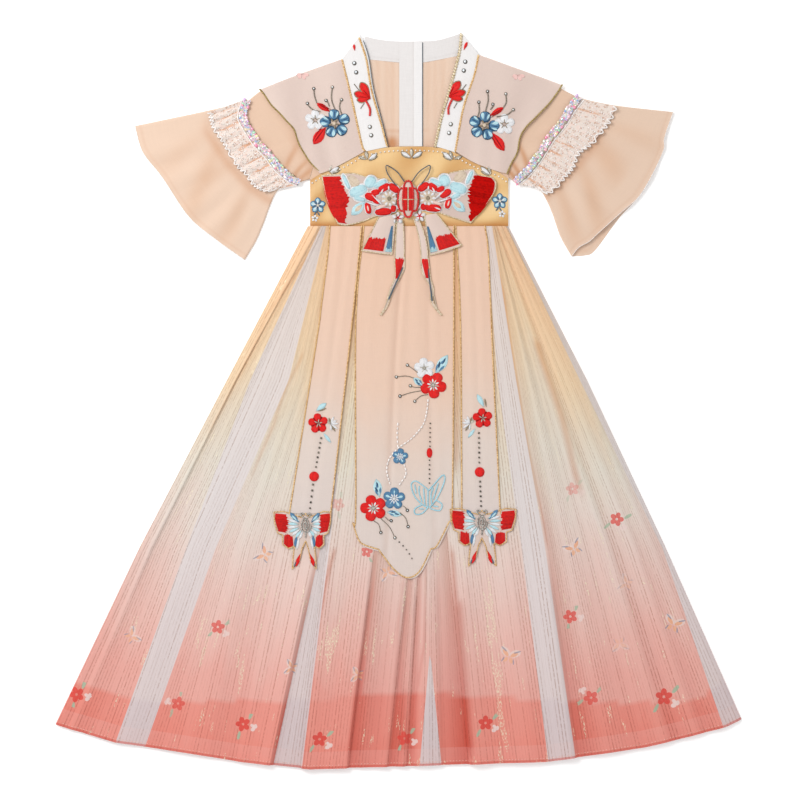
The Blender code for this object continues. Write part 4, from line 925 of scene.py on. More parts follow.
def make_skirt_front():
    columns = skirt_columns()
    at_hem, top_rise, hem_rise, recess = columns[:, 3:].T
    share = even(SKIRT_ROWS)
    x, y, below = skirt_grid(share, columns, HEM)
    z = top_rise + (hem_rise - top_rise) * smooth(below / FOLD_GROWTH)
    z = z + crease_heights(share, at_hem, SKIRT_CREASES)
    side = smooth(np.minimum(x - x[:, :1], x[:, -1:] - x) / 5)
    rolled = BACK_Z + THIN + SEAM + WALL
    z = rolled + (FRONT_Z + CLOTH + z - rolled) * side
    z = np.maximum(z, np.where(side > 0.99, FRONT_Z + WALL, rolled))
    grid = np.stack([x, y, z], axis=2)
    flat = np.stack(np.meshgrid(at_hem - at_hem[0], share * SKIRT_LENGTH), axis=2).reshape(-1, 2)
    share = share[:, None]
    # Painted shade: deeper in the pleats towards the hem, and along the deep creases and the gaps beside
    # the hangings.
    deepening = recess[None] * (0.35 + 0.65 * smooth(share * 1.6 - 0.2))
    deepening = np.maximum(0.8 * deepening, shaded(x, y, SHADES))
    shift = np.interp(at_hem, *zip(*DYE_SHIFT)) * smooth(1.4 - 2 * share)
    doubled = (at_hem > UNLINED[0]) & (at_hem < UNLINED[1])
    lined = smooth((y - hem_y(x, LINING_HEM_FRONT)) / 1.5 + 0.5) * np.where(doubled, 0.4, 1)
    place, ink = print_values(x, y)
    piece = sheet("skirt_front_gauze", "skirt_sheer", grid, GAUZE, on=["lining_front_cloth"], flat=flat,
        floor=rolled - WALL, tone=share + shift, recess=deepening, ribbon=ribbon_value(x, y),
        print_at=place, ink=ink, lined=lined, down=share, glint=shaded(x, y, GLINTS))
    hem = grid[-1] + (0, 5, 0.25)
    grains("skirt_hem_stitches", "skirt_sheer", [hem[3:-3]], PINK_YARN, 4.2, 0.35, 3.4, 0.7)
    return piece


BACK_CREASES = [Crease(*row) for row in [(-380, -372, 0, 0.7, -0.4, 9), (-300, -310, 0.1, 1.02, -0.45, 11),
    (-226, -214, 0, 0.6, -0.4, 8), (-150, -156, 0.3, 1.02, -0.45, 10), (-84, -80, 0, 0.8, -0.4, 9),
    (-12, -18, 0.2, 1.02, -0.45, 12), (66, 72, 0, 0.66, -0.4, 8), (140, 132, 0.25, 1.02, -0.45, 11),
    (214, 222, 0, 0.9, -0.4, 10), (296, 288, 0.1, 1.02, -0.45, 9), (370, 378, 0, 0.75, -0.4, 11)]]


# Flat layers of the skirt: name, slot, hem, how far their sides lie inside its own, low side,
# finish and depth of shade.
LAYERS = [("skirt_back_gauze", "skirt_sheer", HEM, 0, BACK_Z, GAUZE, 0.35),
    ("lining_back_cloth", "lining", LINING_HEM_BACK, 14, INNER_BACK_Z, LINING, 0),
    ("lining_front_cloth", "lining", LINING_HEM_FRONT, 14, INNER_FRONT_Z, LINING, 0)]


def make_skirt_layers():
    """The skirt's back and its linings: flat layers inside its outline, each to its own hem."""
    t = even(80)[:, None]
    edges = np.array([FOLDS[0], FOLDS[-1]])
    for name, slot, hem, inset, low, finish, recess in LAYERS:
        columns = edges[0] + (edges[1] - edges[0]) * t
        columns[:, :4] += inset * (1 - 2 * t)
        x, y, _ = skirt_grid(even(40), columns, hem)
        z = low + THIN + np.minimum(crease_heights(even(40), columns[:, 3], BACK_CREASES), 0)
        tone = (WAIST_Y - y) / SKIRT_LENGTH
        sheet(name, slot, np.stack([x, y, z], axis=2), finish, floor=low, tone=tone, down=tone,
            recess=recess)


# ---------------------------------------------------------------- waist and bodice
def make_waistband():
    wide, deep = BAND_RIGHT - BAND_LEFT, 90
    w, s = even(120)[None], even(34)[:, None]
    foot = [(BAND_LEFT, WAIST_Y), (BAND_RIGHT, WAIST_Y)]
    grid = patch(BAND_ARCH, foot, even(120), even(34))
    crumple = 0.35 * np.sin(9 * w + 3 * s) * np.sin(7 * s + 14 * w)
    crumple = crumple + 0.25 * np.sin(31 * w + 5 * s) * np.sin(pi * s)
    from_side = np.minimum(w, 1 - w) * wide
    seam = -0.45 * bell(np.minimum(from_side, np.minimum(s, 1 - s) * deep), 4, 1.3)
    side = smooth(from_side / 4)
    top = raised(grid, FRONT_Z + CLOTH + (crumple - 0.3 + seam) * side - (1 - side) * 1.3)
    # The satin is lighter on the crests of its crumples and darker in their hollows, as painted light and
    # shade; it is darker towards the right; and painted shade darkens its left end, its lower edge and a
    # line below its top.
    tone = 0.55 + 1.1 * crumple - 0.25 * w - 0.6 * bell(w, 0, 0.07)
    recess = 0.85 * bell(s, 1, 6.5 / deep) + 0.2 * bell(s, 3 / deep, 3 / deep)
    recess = recess + np.maximum(-0.7 * crumple, 0) + 0.3 * bell(w, 0, 0.07)
    piece = sheet("waistband_satin", "gold_satin", top, SATIN, "waistband_front", floor=INNER_FRONT_Z,
        tone=np.clip(tone, 0, 1), recess=recess)
    back = patch([(BAND_LEFT, BAND_BACK_TOP), (BAND_RIGHT, BAND_BACK_TOP)], foot, even(60), even(16))
    top = raised(back, BACK_Z + THIN - 0.2 + 0.2 * np.sin(22 * even(60))[None])
    sheet("waistband_back_satin", "gold_satin", top, SATIN, wall=0.7, tone=0.4)
    return piece


def make_bodice():
    for side, way in SIDES.items():
        outer = parted(ARMHOLE[side], -way * SEAM)
        inner = parted(COLLAR_OUTER[side], way * SEAM)
        foot = [outer[-1], *arch_line(outer[-1][0], inner[-1][0], SEAM)[1:-1], inner[-1]]
        u, v = even(26), even(44)
        fold = -0.25 + 0.25 * np.sin(9 * u + 1)[None] * np.sin(4 * v)[:, None]
        grid = patch([outer[0], inner[0]], foot, u, v, outer, inner)
        top = raised(grid, FRONT_Z + THIN + np.minimum(fold, 0))
        sheet(f"bodice_front_{side}_chiffon", "peach_chiffon", top, CHIFFON, floor=FRONT_Z, tone=0.5)
    left, right = parted(ARMHOLE["left"], SEAM), parted(ARMHOLE["right"], -SEAM)
    neck = [(x, y - SEAM) for x, y in COLLAR_BACK_FOOT]
    u, v = even(90), even(40)
    grid = patch([left[0], (-77, 462), *neck, (109, 468), right[0]],
        [left[-1], (CENTRE_X, BAND_BACK_TOP + 2), right[-1]], u, v, left, right)
    x, y = grid[..., 0], grid[..., 1]
    creases = ((-28, 0.35), (-16, 0.3), (-8, 0.4), (40, 0.4), (50, 0.3), (60, 0.35))
    gathers = -sum(depth * bell(x, place, 3) for place, depth in creases) * smooth(1.6 - 1.6 * v)[:, None]
    top = raised(grid, INNER_BACK_Z + THIN + gathers)
    # Painted shade in the creases of the gathers, below the yoke towards the waistband and in the corner by
    # the left collar; a darker line runs along the yoke.
    yoke, corner = bell(y, 366, 1.5), bell(x, -9, 8) * bell(y, 350, 9)
    recess = -0.5 * gathers + 0.3 * yoke + 0.32 * smooth((368 - y) / 30) + 0.9 * corner
    sheet("bodice_back_chiffon", "peach_chiffon", top, CHIFFON, floor=INNER_BACK_Z,
        recess=np.clip(recess, 0, 1))


def make_zip_guard():
    """The placket that backs the zip: a white strip folded over along its right edge."""
    left, fold, right, top_y, foot_y = 1, 20, 32, 487, 345.2
    v = even(60)
    grid = patch([(left, top_y), (right, top_y)], [(left, foot_y), (right, foot_y)], even(24), v)
    from_fold = grid[..., 0] - fold
    low = INNER_FRONT_Z + SEAM
    top = raised(grid, low + WALL + 0.35 * smooth(from_fold) + 0.06 * np.sin(17 * v)[:, None])
    # The strip is greyer left of the fold, and painted shade runs along the fold.
    sheet("zip_guard_sateen", "white_cotton", top, SATEEN, wall=0.4, floor=low,
        tone=np.where(from_fold < 0, 0.7, 0), recess=0.6 * bell(from_fold, 0, 0.8))
    # A dark thread along the right edge stands in for the shadow there: a painted shadow.
    edge = [(right + 0.6, y, low + 0.5) for y in np.linspace(top_y - 1, foot_y, 30)]
    threads("zip_edge_painted_shadow", "white_cotton", [edge], SLATE, 0.45)


# Piping along the inner edge of a collar band: how far in at its top and foot, finish and radius.
INNER_PIPING = {"left": ((4.6, 1.2), GOLD, 1.2), "right": ((2.2, 1.4), PALE_GOLD, 1.8)}


def make_collar():
    made = {}
    for side in SIDES:
        outer, inner = [*COLLAR_OUTER[side]], [*COLLAR_INNER[side]]
        foot = arch_line(outer[-1][0], inner[-1][0], SEAM)
        outer[-1], inner[-1] = foot[0], foot[-1]
        u, v = dense_ends(20), even(70)
        crown = 0.35 * np.sin(pi * u)[None] + 0.08 * np.sin(23 * v)[:, None] * np.sin(pi * u)[None]
        from_edge = np.minimum(u, 1 - u)[None]
        grid = patch([outer[0], inner[0]], foot, u, v, outer, inner)
        top = raised(grid, FRONT_Z + 1.3 + (crown + 0.4) * smooth(from_edge / 0.04))
        # Painted shade along the folds near both edges of the band.
        made[side] = sheet(f"collar_{side}_sateen", "white_cotton", top, SATEEN, wall=1.2, floor=FRONT_Z,
            recess=0.25 * bell(from_edge, 0.12, 0.02))
        insets, finish, radius = INNER_PIPING[side]
        row = top[1:-1]
        run_in = row[:, -2] + (0, 0, 0.7)
        inset = np.interp(v, [0, 1], insets)[1:-1, None]
        run_in[:, :2] = row[:, -1, :2] - unit(row[:, -1, :2] - row[:, 0, :2]) * inset
        rope(f"collar_{side}_outer_piping", [row[:, 1] + (0, 0, 0.5)], GOLD, 1.3)
        rope(f"collar_{side}_inner_piping", [run_in], finish, radius)
        threads(f"collar_{side}_edge", "white_cotton", [top[4:, -1] + (0.3, 0, -0.2)], SLATE, 0.55)
    u, v = even(60), even(14)
    # Painted shade in the seam near the foot of the back collar.
    seam = bell(v, 0.88, 0.03)[:, None]
    top = raised(patch(COLLAR_BACK_TOP, COLLAR_BACK_FOOT, u, v), INNER_BACK_Z + CLOTH - 0.25 * seam)
    sheet("collar_back_sateen", "white_cotton", top, SATEEN, wall=0.9, floor=INNER_BACK_Z, tone=0.8,
        recess=0.3 * seam)
    return made


def make_cape():
    made = {}
    neck = {"left": [(-41, 462), (3, 458), (CENTRE_X - 0.4, 458)],
        "right": [(73, 466), (33, 458), (CENTRE_X + 0.4, 458)]}
    for side, way in SIDES.items():
        inner, edge = parted(COLLAR_OUTER[side], way * SEAM), CAPE_EDGE[side]
        foot = [edge[-1], *arch_line(edge[-1][0], inner[-1][0], SEAM)[1:-1], inner[-1]]
        u, v = even(70), even(70)
        grid = patch([*reversed(SHOULDER[side][1:]), inner[0]], foot, u, v, edge, inner)
        w, s = u[None], v[:, None]
        wave = 1.6 * np.sin(2 * pi * (1.2 * w + 0.6 * s)) ** 2 * (1 - w) * smooth(3 * s)
        soft = 0.4 * np.sin(9 * w + 2 * s) * np.sin(3 * s + 0.5)
        top = raised(grid, CAPE_Z + THIN + wave + np.clip(soft, -0.3, 0.3))
        made[side] = sheet(f"cape_front_{side}_organza", "pink_organza", top, CAPE_ORGANZA, floor=CAPE_Z,
            tone=0.5 * np.sin(4 * w + s) ** 2)
        line = top[:, 0] + (0, 0, 0.1)
        line[:, :2] += 0.5 * np.sin(np.linspace(0, 26, len(line)))[:, None] * (0.8, 0.6)
        rope(f"cape_edge_{side}_cord", [line], OLIVE, 0.95)
        u, v = even(50), even(44)
        foot = (neck[side][-1][0], 316)
        grid = patch([*reversed(SHOULDER[side]), *neck[side]], [edge[-1], foot], u, v, edge,
            [neck[side][-1], foot])
        top = raised(grid, BACK_Z + 0.75 + 0.2 * np.sin(13 * u)[None] * np.sin(5 * v)[:, None])
        sheet(f"cape_back_{side}_organza", "pink_organza", top, CAPE_ORGANZA)
    return made


# ---------------------------------------------------------------- sleeves
def fold_heights(folds, w, s):
    """Heights of the folds at share w across and s along a sleeve."""
    total = 0
    for fold in folds:
        middle = fold.start + (fold.end - fold.start) * s
        total = total + fold.rise * bell(w, middle, fold.spread) * smooth((s - fold.first) / 0.35)
    return total * np.sin(pi * w) ** 0.5


# Soft shade in the folds of a sleeve: share across at its start and end, first and last share
# along, half width, depth.
SoftShade = namedtuple("SoftShade", "start end first last width depth")
UPPER_SHADES = [(0.62, 0.86, 0.3, 1.1, 0.035, 0.75), (0.78, 0.95, 0.1, 1.1, 0.03, 0.8),
    (0.9, 0.98, -0.1, 0.9, 0.04, 0.8), (0.5, 0.6, -0.1, 0.5, 0.1, 0.25)]
FLARE_SHADES = {"left": [(0.34, 0.62, 0.3, 1.05, 0.07, 0.3), (0.2, 0.3, 0.4, 1, 0.06, 0.16),
    (0.78, 0.84, 0.35, 1.05, 0.05, 0.26), (0.52, 0.5, 0.32, 0.7, 0.05, 0.18)],
    "right": [(0.36, 0.48, 0.3, 0.8, 0.1, 0.3), (0.58, 0.8, 0.32, 1.05, 0.06, 0.3),
    (0.18, 0.2, 0.36, 1, 0.06, 0.16), (0.86, 0.93, 0.3, 1, 0.05, 0.28)]}


def shade_at(shades, w, s):
    total = 0
    for shade in (SoftShade(*row) for row in shades):
        along = np.clip((s - shade.first) / (shade.last - shade.first), 0, 1)
        middle = shade.start + (shade.end - shade.start) * along
        total = total + shade.depth * np.sin(pi * along) ** 0.5 * bell(w, middle, shade.width)
    return total


def make_sleeves():
    """Each sleeve is a fitted part down to the braid and a flare beyond it."""
    for side, way in SIDES.items():
        seam = parted(BRAID_LINE[side], -way * SEAM)
        u, v = dense_ends(60), even(22)
        grid = patch(ARMHOLE[side], seam, u, v, [*UPPER_TOP[side][:-1], seam[0]],
            [*UPPER_FOOT[side][:-1], seam[-1]])
        w, s = u[None], v[:, None]
        # The tone deepens next to the cape. Painted shade lies in the folds, stronger on the right sleeve,
        # the side away from the light.
        near_cape = bell(s, 0.12, 0.22) * (0.25 + 0.5 * w)
        strength = {"left": 0.75, "right": 1}[side]
        crown = UPPER_CROWN + fold_heights(UPPER_FOLDS, w, s)
        tone, soft = 0.35 + 0.5 * near_cape, strength * shade_at(UPPER_SHADES, w, s)
        tube(f"sleeve_upper_{side}_chiffon", "peach_chiffon", grid, grid, UPPER_Z, crown, CHIFFON,
            tone=tone, recess=soft)
        u, v = dense_ends(110), even(44)
        front, back = [patch(BRAID_LINE[side], cuff[side], u, v, FLARE_TOP[side], FLARE_FOOT[side])
            for cuff in (CUFF_FRONT, CUFF_BACK)]
        w, s = u[None], v[:, None]
        # Painted shade in the folds, along the hem and under the lace, stronger on the right sleeve, the
        # side away from the light; the tone deepens with it.
        hem = bell(s, 0.955, 0.008)
        soft = shade_at(FLARE_SHADES[side], w, s)
        under_lace = bell(s, 0.36, 0.05) * smooth(4 * w)
        strength = {"left": 1, "right": 1.4}[side]
        crown = FLARE_CROWN + fold_heights(FLARE_FOLDS, w, s) - 0.25 * hem
        outer = tube(f"sleeve_flare_{side}_chiffon", "peach_chiffon", front, back, FLARE_Z, crown, CHIFFON,
            tone=0.06 + strength * soft, recess=0.12 * hem + 0.4 * under_lace + 0.35 * soft)
        threads(f"cuff_{side}_overlock", "peach_chiffon", [outer[-1, :len(u)] + (0, 0, 0.1)], WHITE_YARN,
            0.35)
        make_lace(side, way)
        make_braid(side, way)


def make_lace(side, way):
    """A gathered lace frill: an open ground with corded edges, run up on the braid."""
    u, v = even(14 * 12), even(14)
    grid = patch(parted(BRAID_LINE[side], way * (BRAID_HALF + SEAM)), LACE_EDGE[side], u, v)
    s, w = v[:, None], u[None]
    uneven = w + 0.03 * np.sin(9 * w + way) + 0.014 * np.sin(25 * w + 2 * way)
    turn = 2 * pi * LACE_WAVES * uneven
    wave = (0.6 + (LACE_HEIGHT - 0.6) * s) * (0.5 - 0.5 * np.cos(turn)) ** 0.45
    top = raised(grid, LACE_LOW + 0.9 + wave)
    length = 0.75 + 0.35 * np.sin(17 * w + way) * np.sin(5 * w)
    # The gathers carry painted shade in their folds.
    gathers = (0.5 + 0.5 * np.cos(turn)) ** 16 * smooth((length - s) / 0.25)
    gathers = gathers * smooth(1 + 0.9 * np.sin(41 * w + 2 * way))
    sheet(f"lace_{side}_net", "lace", top, NET, wall=0.3, floor=LACE_LOW, recess=gathers)
    rim = top[-1] + (0, 0, 0.2)
    rim[:, :2] += 0.9 * np.sin(2.3 * turn.ravel())[:, None] * (top[-1, :, :2] - top[-2, :, :2])
    threads(f"lace_{side}_cording", "lace", [rim, top[1] + (0, 0, 0.2)], WHITE_YARN, 1)
    raise_by = (0, 0, 0.4)
    spots = [[top[r, c] + raise_by, top[r + 1, c + way * (r % 2)] + raise_by] for r in (3, 6, 9, 11)
        for c in range(3 + r, len(u) - 3, 7)]
    grains(f"lace_{side}_picots", "lace", spots, WHITE_YARN, 2.2, 0.9, 1.2, 0.6)


def make_braid(side, way):
    """A woven tape along the sleeve seam, covered with sequins and seed pearls."""
    line = run(BRAID_LINE[side], even(90))
    u = np.array([-1, -0.9, -0.6, -0.2, 0.2, 0.6, 0.9, 1])
    strip = np.stack([parted(line, BRAID_HALF * k) for k in u], axis=1)
    crown = BRAID_THICK - 0.9 * np.abs(u[None]) ** 3 + 0.12 * np.sin(even(90) * 95)[:, None]
    top = raised(strip, BRAID_LOW + crown)
    tape = shell(f"braid_{side}_tape", top, SATEEN, wall=0.8, floor=BRAID_LOW, tone=0.8)
    worn(tape, "beaded_braid", f"braid_{side}")
    middle = top[:, 1:-1] + (0, 0, 0.25)
    source = build("lines", middle.reshape(-1, 3), quads(*middle.shape[:2]), [SEQUIN])
    grown(f"braid_{side}_sequins", "beaded_braid", source, DISCS, Density=300000, Radius=1.5 * MM, Tilt=0.6,
        Seed=11 if way < 0 else 12, Material=SEQUIN)
    edges = [top[:, k] + (0, 0, 0.6) for k in (0, -1)]
    grains(f"braid_{side}_beads", "beaded_braid", edges, SEQUIN, 2.9, 1.25, 1.2, 0.8, 0, 0.9)


# ---------------------------------------------------------------- hangings
def beside(high, axis, reach, pick):
    """What pick gives of each height and those up to reach places away along one axis."""
    padded = np.pad(high, [(reach, reach) if k == axis else (0, 0) for k in (0, 1)], "edge")
    size = high.shape[axis]
    return pick([np.take(padded, range(k, k + size), axis) for k in range(2 * reach + 1)], 0)


def draped(grid, ground):
    """Heights at which a light sheet lies over what is under it: it bridges narrow dips."""
    high = ground.lay(grid, 0)[..., 2]
    reach = max(2, int(round(BRIDGED / max(1, steps(grid, 1).mean()))))
    high = beside(beside(high, 0, reach, np.max), 1, reach, np.max)
    for _ in range(reach):
        high = beside(beside(high, 0, 1, np.mean), 1, 1, np.mean)
    return high + (SEAM + WALL)


# Soft lengthwise creases of a hanging: share across at its top and foot, height, half width.
Pleat = namedtuple("Pleat", "top foot rise width")
PANEL_PLEATS = [Pleat(*row) for row in [(0.46, 0.3, -0.9, 0.03), (0.52, 0.37, 0.8, 0.035),
    (0.6, 0.66, 0.5, 0.05), (0.8, 0.86, 0.6, 0.04), (0.18, 0.12, 0.4, 0.05), (0.7, 0.78, -0.4, 0.03)]]
STREAMER_PLEATS = [Pleat(*row) for row in [(0.3, 0.36, 0.5, 0.1), (0.74, 0.66, 0.4, 0.09),
    (0.52, 0.5, -0.4, 0.06)]]
BRIDGED = 9  # half the width of a dip that a hanging lies across, in millimetres


def pleated(u, v, pleats):
    total = 0
    for pleat in pleats:
        middle = pleat.top + (pleat.foot - pleat.top) * v[:, None]
        total = total + pleat.rise * bell(u[None], middle, pleat.width)
    return total * (1 - 0.5 * v[:, None])


def corner_run(stretches, count):
    """Points along several stretches that meet in corners, in even steps on each."""
    sizes = np.array([steps(s).sum() for s in stretches])
    parts = np.maximum(1, np.round(sizes / sizes.sum() * count)).astype(int)
    parts[-1] += count - parts.sum()
    found = [run(s, even(n))[:-1] for s, n in zip(stretches, parts)]
    return np.vstack([*found, [stretches[-1][-1]]])


def both_sides(top, lift):
    return [top[:, k] + (0, 0, lift) for k in (0, -1)]


def round_foot(top, lift):
    """One line down the left side, along the foot and up the right side."""
    return [np.concatenate([top[:, 0], top[-1, 1:], top[-2::-1, -1]]) + (0, 0, lift)]


def make_hangings(skirt):
    """The centre panel and the streamers, which hang from the waist seam over the skirt."""
    ground, made, below = Ground(skirt), {}, ["skirt_front_gauze"]
    u, v = even(66), even(120)
    foot = corner_run(PANEL_POINT, 66)
    grid = patch([PANEL_LEFT[0], PANEL_RIGHT[0]], [foot[0], foot[-1]], u, v, PANEL_LEFT, PANEL_RIGHT)
    pointed = (foot - run([foot[0], foot[-1]], u))[None]
    grid = grid + pointed * smooth((v - 0.45) / 0.55)[:, None, None] ** 1.5
    pleats = pleated(u, v, PANEL_PLEATS)
    top = raised(grid, draped(grid, ground) + np.maximum(pleats, -0.2))
    # Painted shade in the hollows of the pleats.
    made["centre"] = sheet("panel_centre_organza", "pink_organza", top, ORGANZA, on=below, wall=0.4,
        tone=np.clip(0.55 * v + 0.06, 0, 1)[:, None], recess=np.clip(-0.5 * pleats, 0, 1) * 0.8)
    rope("panel_centre_piping", round_foot(top, 0.3), GOLD, 0.85)
    for side in SIDES:
        left, right = STREAMER_LEFT[side], STREAMER_RIGHT[side]
        u, v = even(30), even(130)
        grid = patch([left[0], right[0]], [left[-1], right[-1]], u, v, left, right)
        top = raised(grid, draped(grid, ground) + np.maximum(pleated(u, v, STREAMER_PLEATS), -0.2))
        made[side] = sheet(f"streamer_{side}_organza", "peach_chiffon", top, ORGANZA, on=below, wall=0.4,
            tone=np.clip(0.5 * v + 0.12, 0, 1)[:, None])
        rope(f"streamer_{side}_piping", both_sides(top, 0.3), GOLD, 0.85)
    return made


# ---------------------------------------------------------------- stitching
# A patch of satin stitch: its flat grid (threads run down its columns), how high it is domed,
# how far it lies above the cloth, and its floss.
Fill = namedtuple("Fill", "grid rise lift floss")
ACROSS = np.linspace(-1, 1, 7)[None]  # places across a leaf, a block or a disc


def rotated(points, x, y, turn):
    way = radians(turn)
    p = np.asarray(points, float)
    along, up = p[..., 0], p[..., 1]
    return np.stack([x + along * cos(way) - up * sin(way), y + along * sin(way) + up * cos(way)], axis=-1)


def around(start, count=5):
    """Turns at even steps all the way round."""
    return [start + 360 / count * k for k in range(count)]


def leaf(x, y, length, width, turn, floss, lift=0, blunt=0, rise=0.9, out=0, aside=0, slant=0):
    """A leaf or petal that starts out and aside of (x, y) by the turn and points away from it, or
    slants. blunt moves its widest part towards its tip: 0 is pointed and 1 is round."""
    t = dense_ends(8)
    half = 0.5 * width * np.sin(pi * t ** (1 + 0.9 * blunt)) ** (0.95 - 0.4 * blunt)
    grid = np.stack([(t * length)[:, None] + 0 * ACROSS, half[:, None] * ACROSS], 2)
    return Fill(rotated(grid, *rotated((out, aside), x, y, turn), turn + slant), rise, lift, floss)


def pad(x, y, length, width, turn, floss, lift=0, rise=1.1, out=0, aside=0):
    """A round-ended block of stitches whose middle lies out and aside of (x, y) by the turn."""
    t = dense_ends(8)
    half = 0.5 * width * np.sqrt(np.maximum(1 - np.abs(2 * t - 1) ** 3, 0))
    grid = np.stack([((t - 0.5) * length)[:, None] + 0 * ACROSS, half[:, None] * ACROSS], 2)
    return Fill(rotated(grid, *rotated((out, aside), x, y, turn), turn), rise, lift, floss)


def disc(x, y, radius, floss, lift=0, rise=0.9, long=1):
    along = 1 - 2 * dense_ends(6)[:, None]
    half = radius * np.sqrt(np.maximum(1 - along ** 2, 0))
    grid = np.stack([x + half * ACROSS, y + radius * long * along + 0 * ACROSS], 2)
    return Fill(grid, rise, lift, floss)


def band(a, b, floss, jag=0, columns=14, rows=5, lift=0, rise=0.9):
    """Stitches that run from line a to line b; jag leaves their ends on b ragged."""
    u, v = even(columns), even(rows)[:, None, None]
    start, end = run(a, u), run(b, u)
    ragged = RANDOM.uniform(-1, 1, len(u)) * jag
    ragged[::2] += 0.6 * jag
    end = end + unit(end - start) * ragged[:, None]
    return Fill(start[None] * (1 - v) + end[None] * v, rise, lift, floss)


def flower(x, y, radius, turn, floss, heart=SILVER, lift=0):
    """Round petals about a heart with fine stamens."""
    made = []
    for k, way in enumerate(around(turn)):
        high, out = lift + 0.1 * (k % 2), 0.58 * radius
        made.append(pad(x, y, 0.86 * radius, 0.8 * radius, way, floss, high, 1.3, out))
        made += [leaf(x, y, 0.48 * radius, 0.13 * radius, way, heart, lift + 1, 0.3, 0.5),
            leaf(x, y, 0.36 * radius, 0.15 * radius, way + 36, WHITE, lift + 1.1, 0.3, 0.5, 0.12 * radius)]
    return [*made, disc(x, y, 0.11 * radius, heart, lift + 1, 0.6)]


# Strokes over a two-tone leaf: share of its length along, of its width across, slant and floss.
LEAF_STROKES = [(0.1, 0.12, 16, BLUE), (0.26, 0.02, 22, DEEP_BLUE), (0.44, 0.16, -14, BLUE),
    (0.18, -0.14, -12, BLUE), (0.5, -0.06, 6, DEEP_BLUE)]


def two_tone_leaf(x, y, length, width, turn):
    """A leaf in one blue with slanting strokes of darker ones over half of it."""
    made = [leaf(x, y, length, width, turn, SKY, 0, 0.1)]
    for share, across, slant, floss in LEAF_STROKES:
        made.append(leaf(x, y, 0.34 * length, 0.24 * width, turn, floss, 0.75, 0.2, 0.5, share * length,
            across * width, slant))
    return made


def sewn(name, ground, fills, slot="embroidery"):
    """All the stitch patches of one area as one piece, laid on its ground."""
    finishes, points, faces, flats, marks = [], [], [], [], []
    for fill in fills:
        if fill.floss not in finishes:
            finishes.append(fill.floss)
        rows, columns = fill.grid.shape[:2]
        across, down = (np.abs(np.linspace(-1, 1, count)) for count in (columns, rows))
        dome = np.sqrt(np.maximum((1 - across[None] ** 2.6) * (1 - down[:, None] ** 4), 0))
        laid = ground.lay(fill.grid, 0)
        top = laid.copy()
        top[..., 2] += 0.15 + fill.lift + fill.rise * dome
        start = len(points)
        made = quads(rows, columns, start) + quads(rows, columns, start + rows * columns, True)
        made += rim(rows, columns, start)
        points += [*top.reshape(-1, 3), *(laid + (0, 0, 0.05)).reshape(-1, 3)]
        flats += [*on_cloth(top)] * 2
        faces += made
        marks += [finishes.index(fill.floss)] * len(made)
    piece = build(name, points, faces, finishes, flats)
    piece.data.polygons.foreach_set("material_index", marks)
    worn(piece, slot)


def laid_on(ground, lines, count, lift):
    return [ground.lay(run(line, even(count)), lift) for line in lines]


def stems(name, ground, lines, finish, radius=0.5, beads=True):
    """Stitched stalks; each may end in a bead."""
    threads(name, "embroidery", laid_on(ground, lines, 10, 0.5), finish, radius)
    if beads:
        ends = [disc(*line[-1], *bead) for line in lines
            for bead in ((2.4, HEMATITE, 0.2, 1.2), (1, STONE, 1.2, 0.9))]
        sewn(f"{name}_beads", ground, ends, "rhinestone")


def chain(name, slot, ground, lines, finish, step, radius, stretch=1):
    """Beads or stitches at even steps along curves on the cloth."""
    laid = [ground.lay(run(line, even(max(8, int(steps(line).sum() / 3)))), 0.8) for line in lines]
    grains(name, slot, laid, finish, step, radius, stretch, 0.8)


# ---------------------------------------------------------------- bow and butterflies
def make_bow():
    """The two folded wings of a stiffened organza bow in the form of a butterfly."""
    grounds = {}
    for side in SIDES:
        u, v = even(56), even(44)
        grid = patch(BOW_TOP[side], BOW_FOOT[side], u, v, BOW_TIP[side])
        w, s = u[None], v[:, None]
        rise = 3.4 * np.sin(pi * s) ** 0.7 * np.sin(pi * (0.12 + 0.8 * w)) ** 0.7
        for share, height in BOW_FOLDS:
            rise = rise + height * w * bell(s, share, 0.09)
        top = raised(grid, BOW_Z + CLOTH + rise)
        # A little painted shade over the whole wing.
        piece = sheet(f"bow_wing_{side}_organza", "pink_organza", top, CAPE_ORGANZA, wall=0.8, floor=BOW_Z,
            tone=0.6, recess=0.1)
        grounds[side] = Ground(piece)
        edge = np.concatenate([top[::-1, 0], top[0, 1:]])
        rope(f"bow_wing_{side}_edge", [edge, top[-1]], PALE_GOLD, 0.7)
    return grounds


# Stitched blocks of the bow: middle, length, width and turn of each. The wings differ a little.
RED_BLOCKS = {"left": [(-19.6, 288.4, 15, 8.5, 30), (-6.4, 288, 15, 8.5, -38), (-31.5, 281.8, 10, 7, 15),
    (-38, 275.8, 14, 9, -22), (-30.5, 269.6, 8, 4.5, -25), (-41.2, 260.7, 14, 7, 102),
    (-20.6, 255.8, 21, 8.5, 4), (-7, 260, 7, 6, 80)],
    "right": [(33.8, 289.6, 15, 8.5, 36), (46.2, 289.4, 12, 8, -36), (56.8, 286.4, 10, 5.5, 28),
    (63.6, 280.4, 15, 8.5, 32), (67.4, 267.6, 14, 7, 74), (46.7, 260.9, 21, 8.5, -4),
    (33.6, 262.5, 7, 6, 100)]}
SKY_BLOCKS = {"left": [(-38, 296, 17, 14, 62), (-54.5, 283.8, 25, 14, 22), (-24.8, 293.6, 19, 8, 27),
    (-52.5, 273, 16, 6, -14), (-71, 296.4, 22, 5, -66)],
    "right": [(62.4, 298, 17, 14, 112), (80.6, 287.8, 24, 14, -20), (51.4, 295.4, 18, 7.5, -27),
    (77.6, 277, 14, 6, 28), (96.4, 302.4, 20, 5, 66)]}
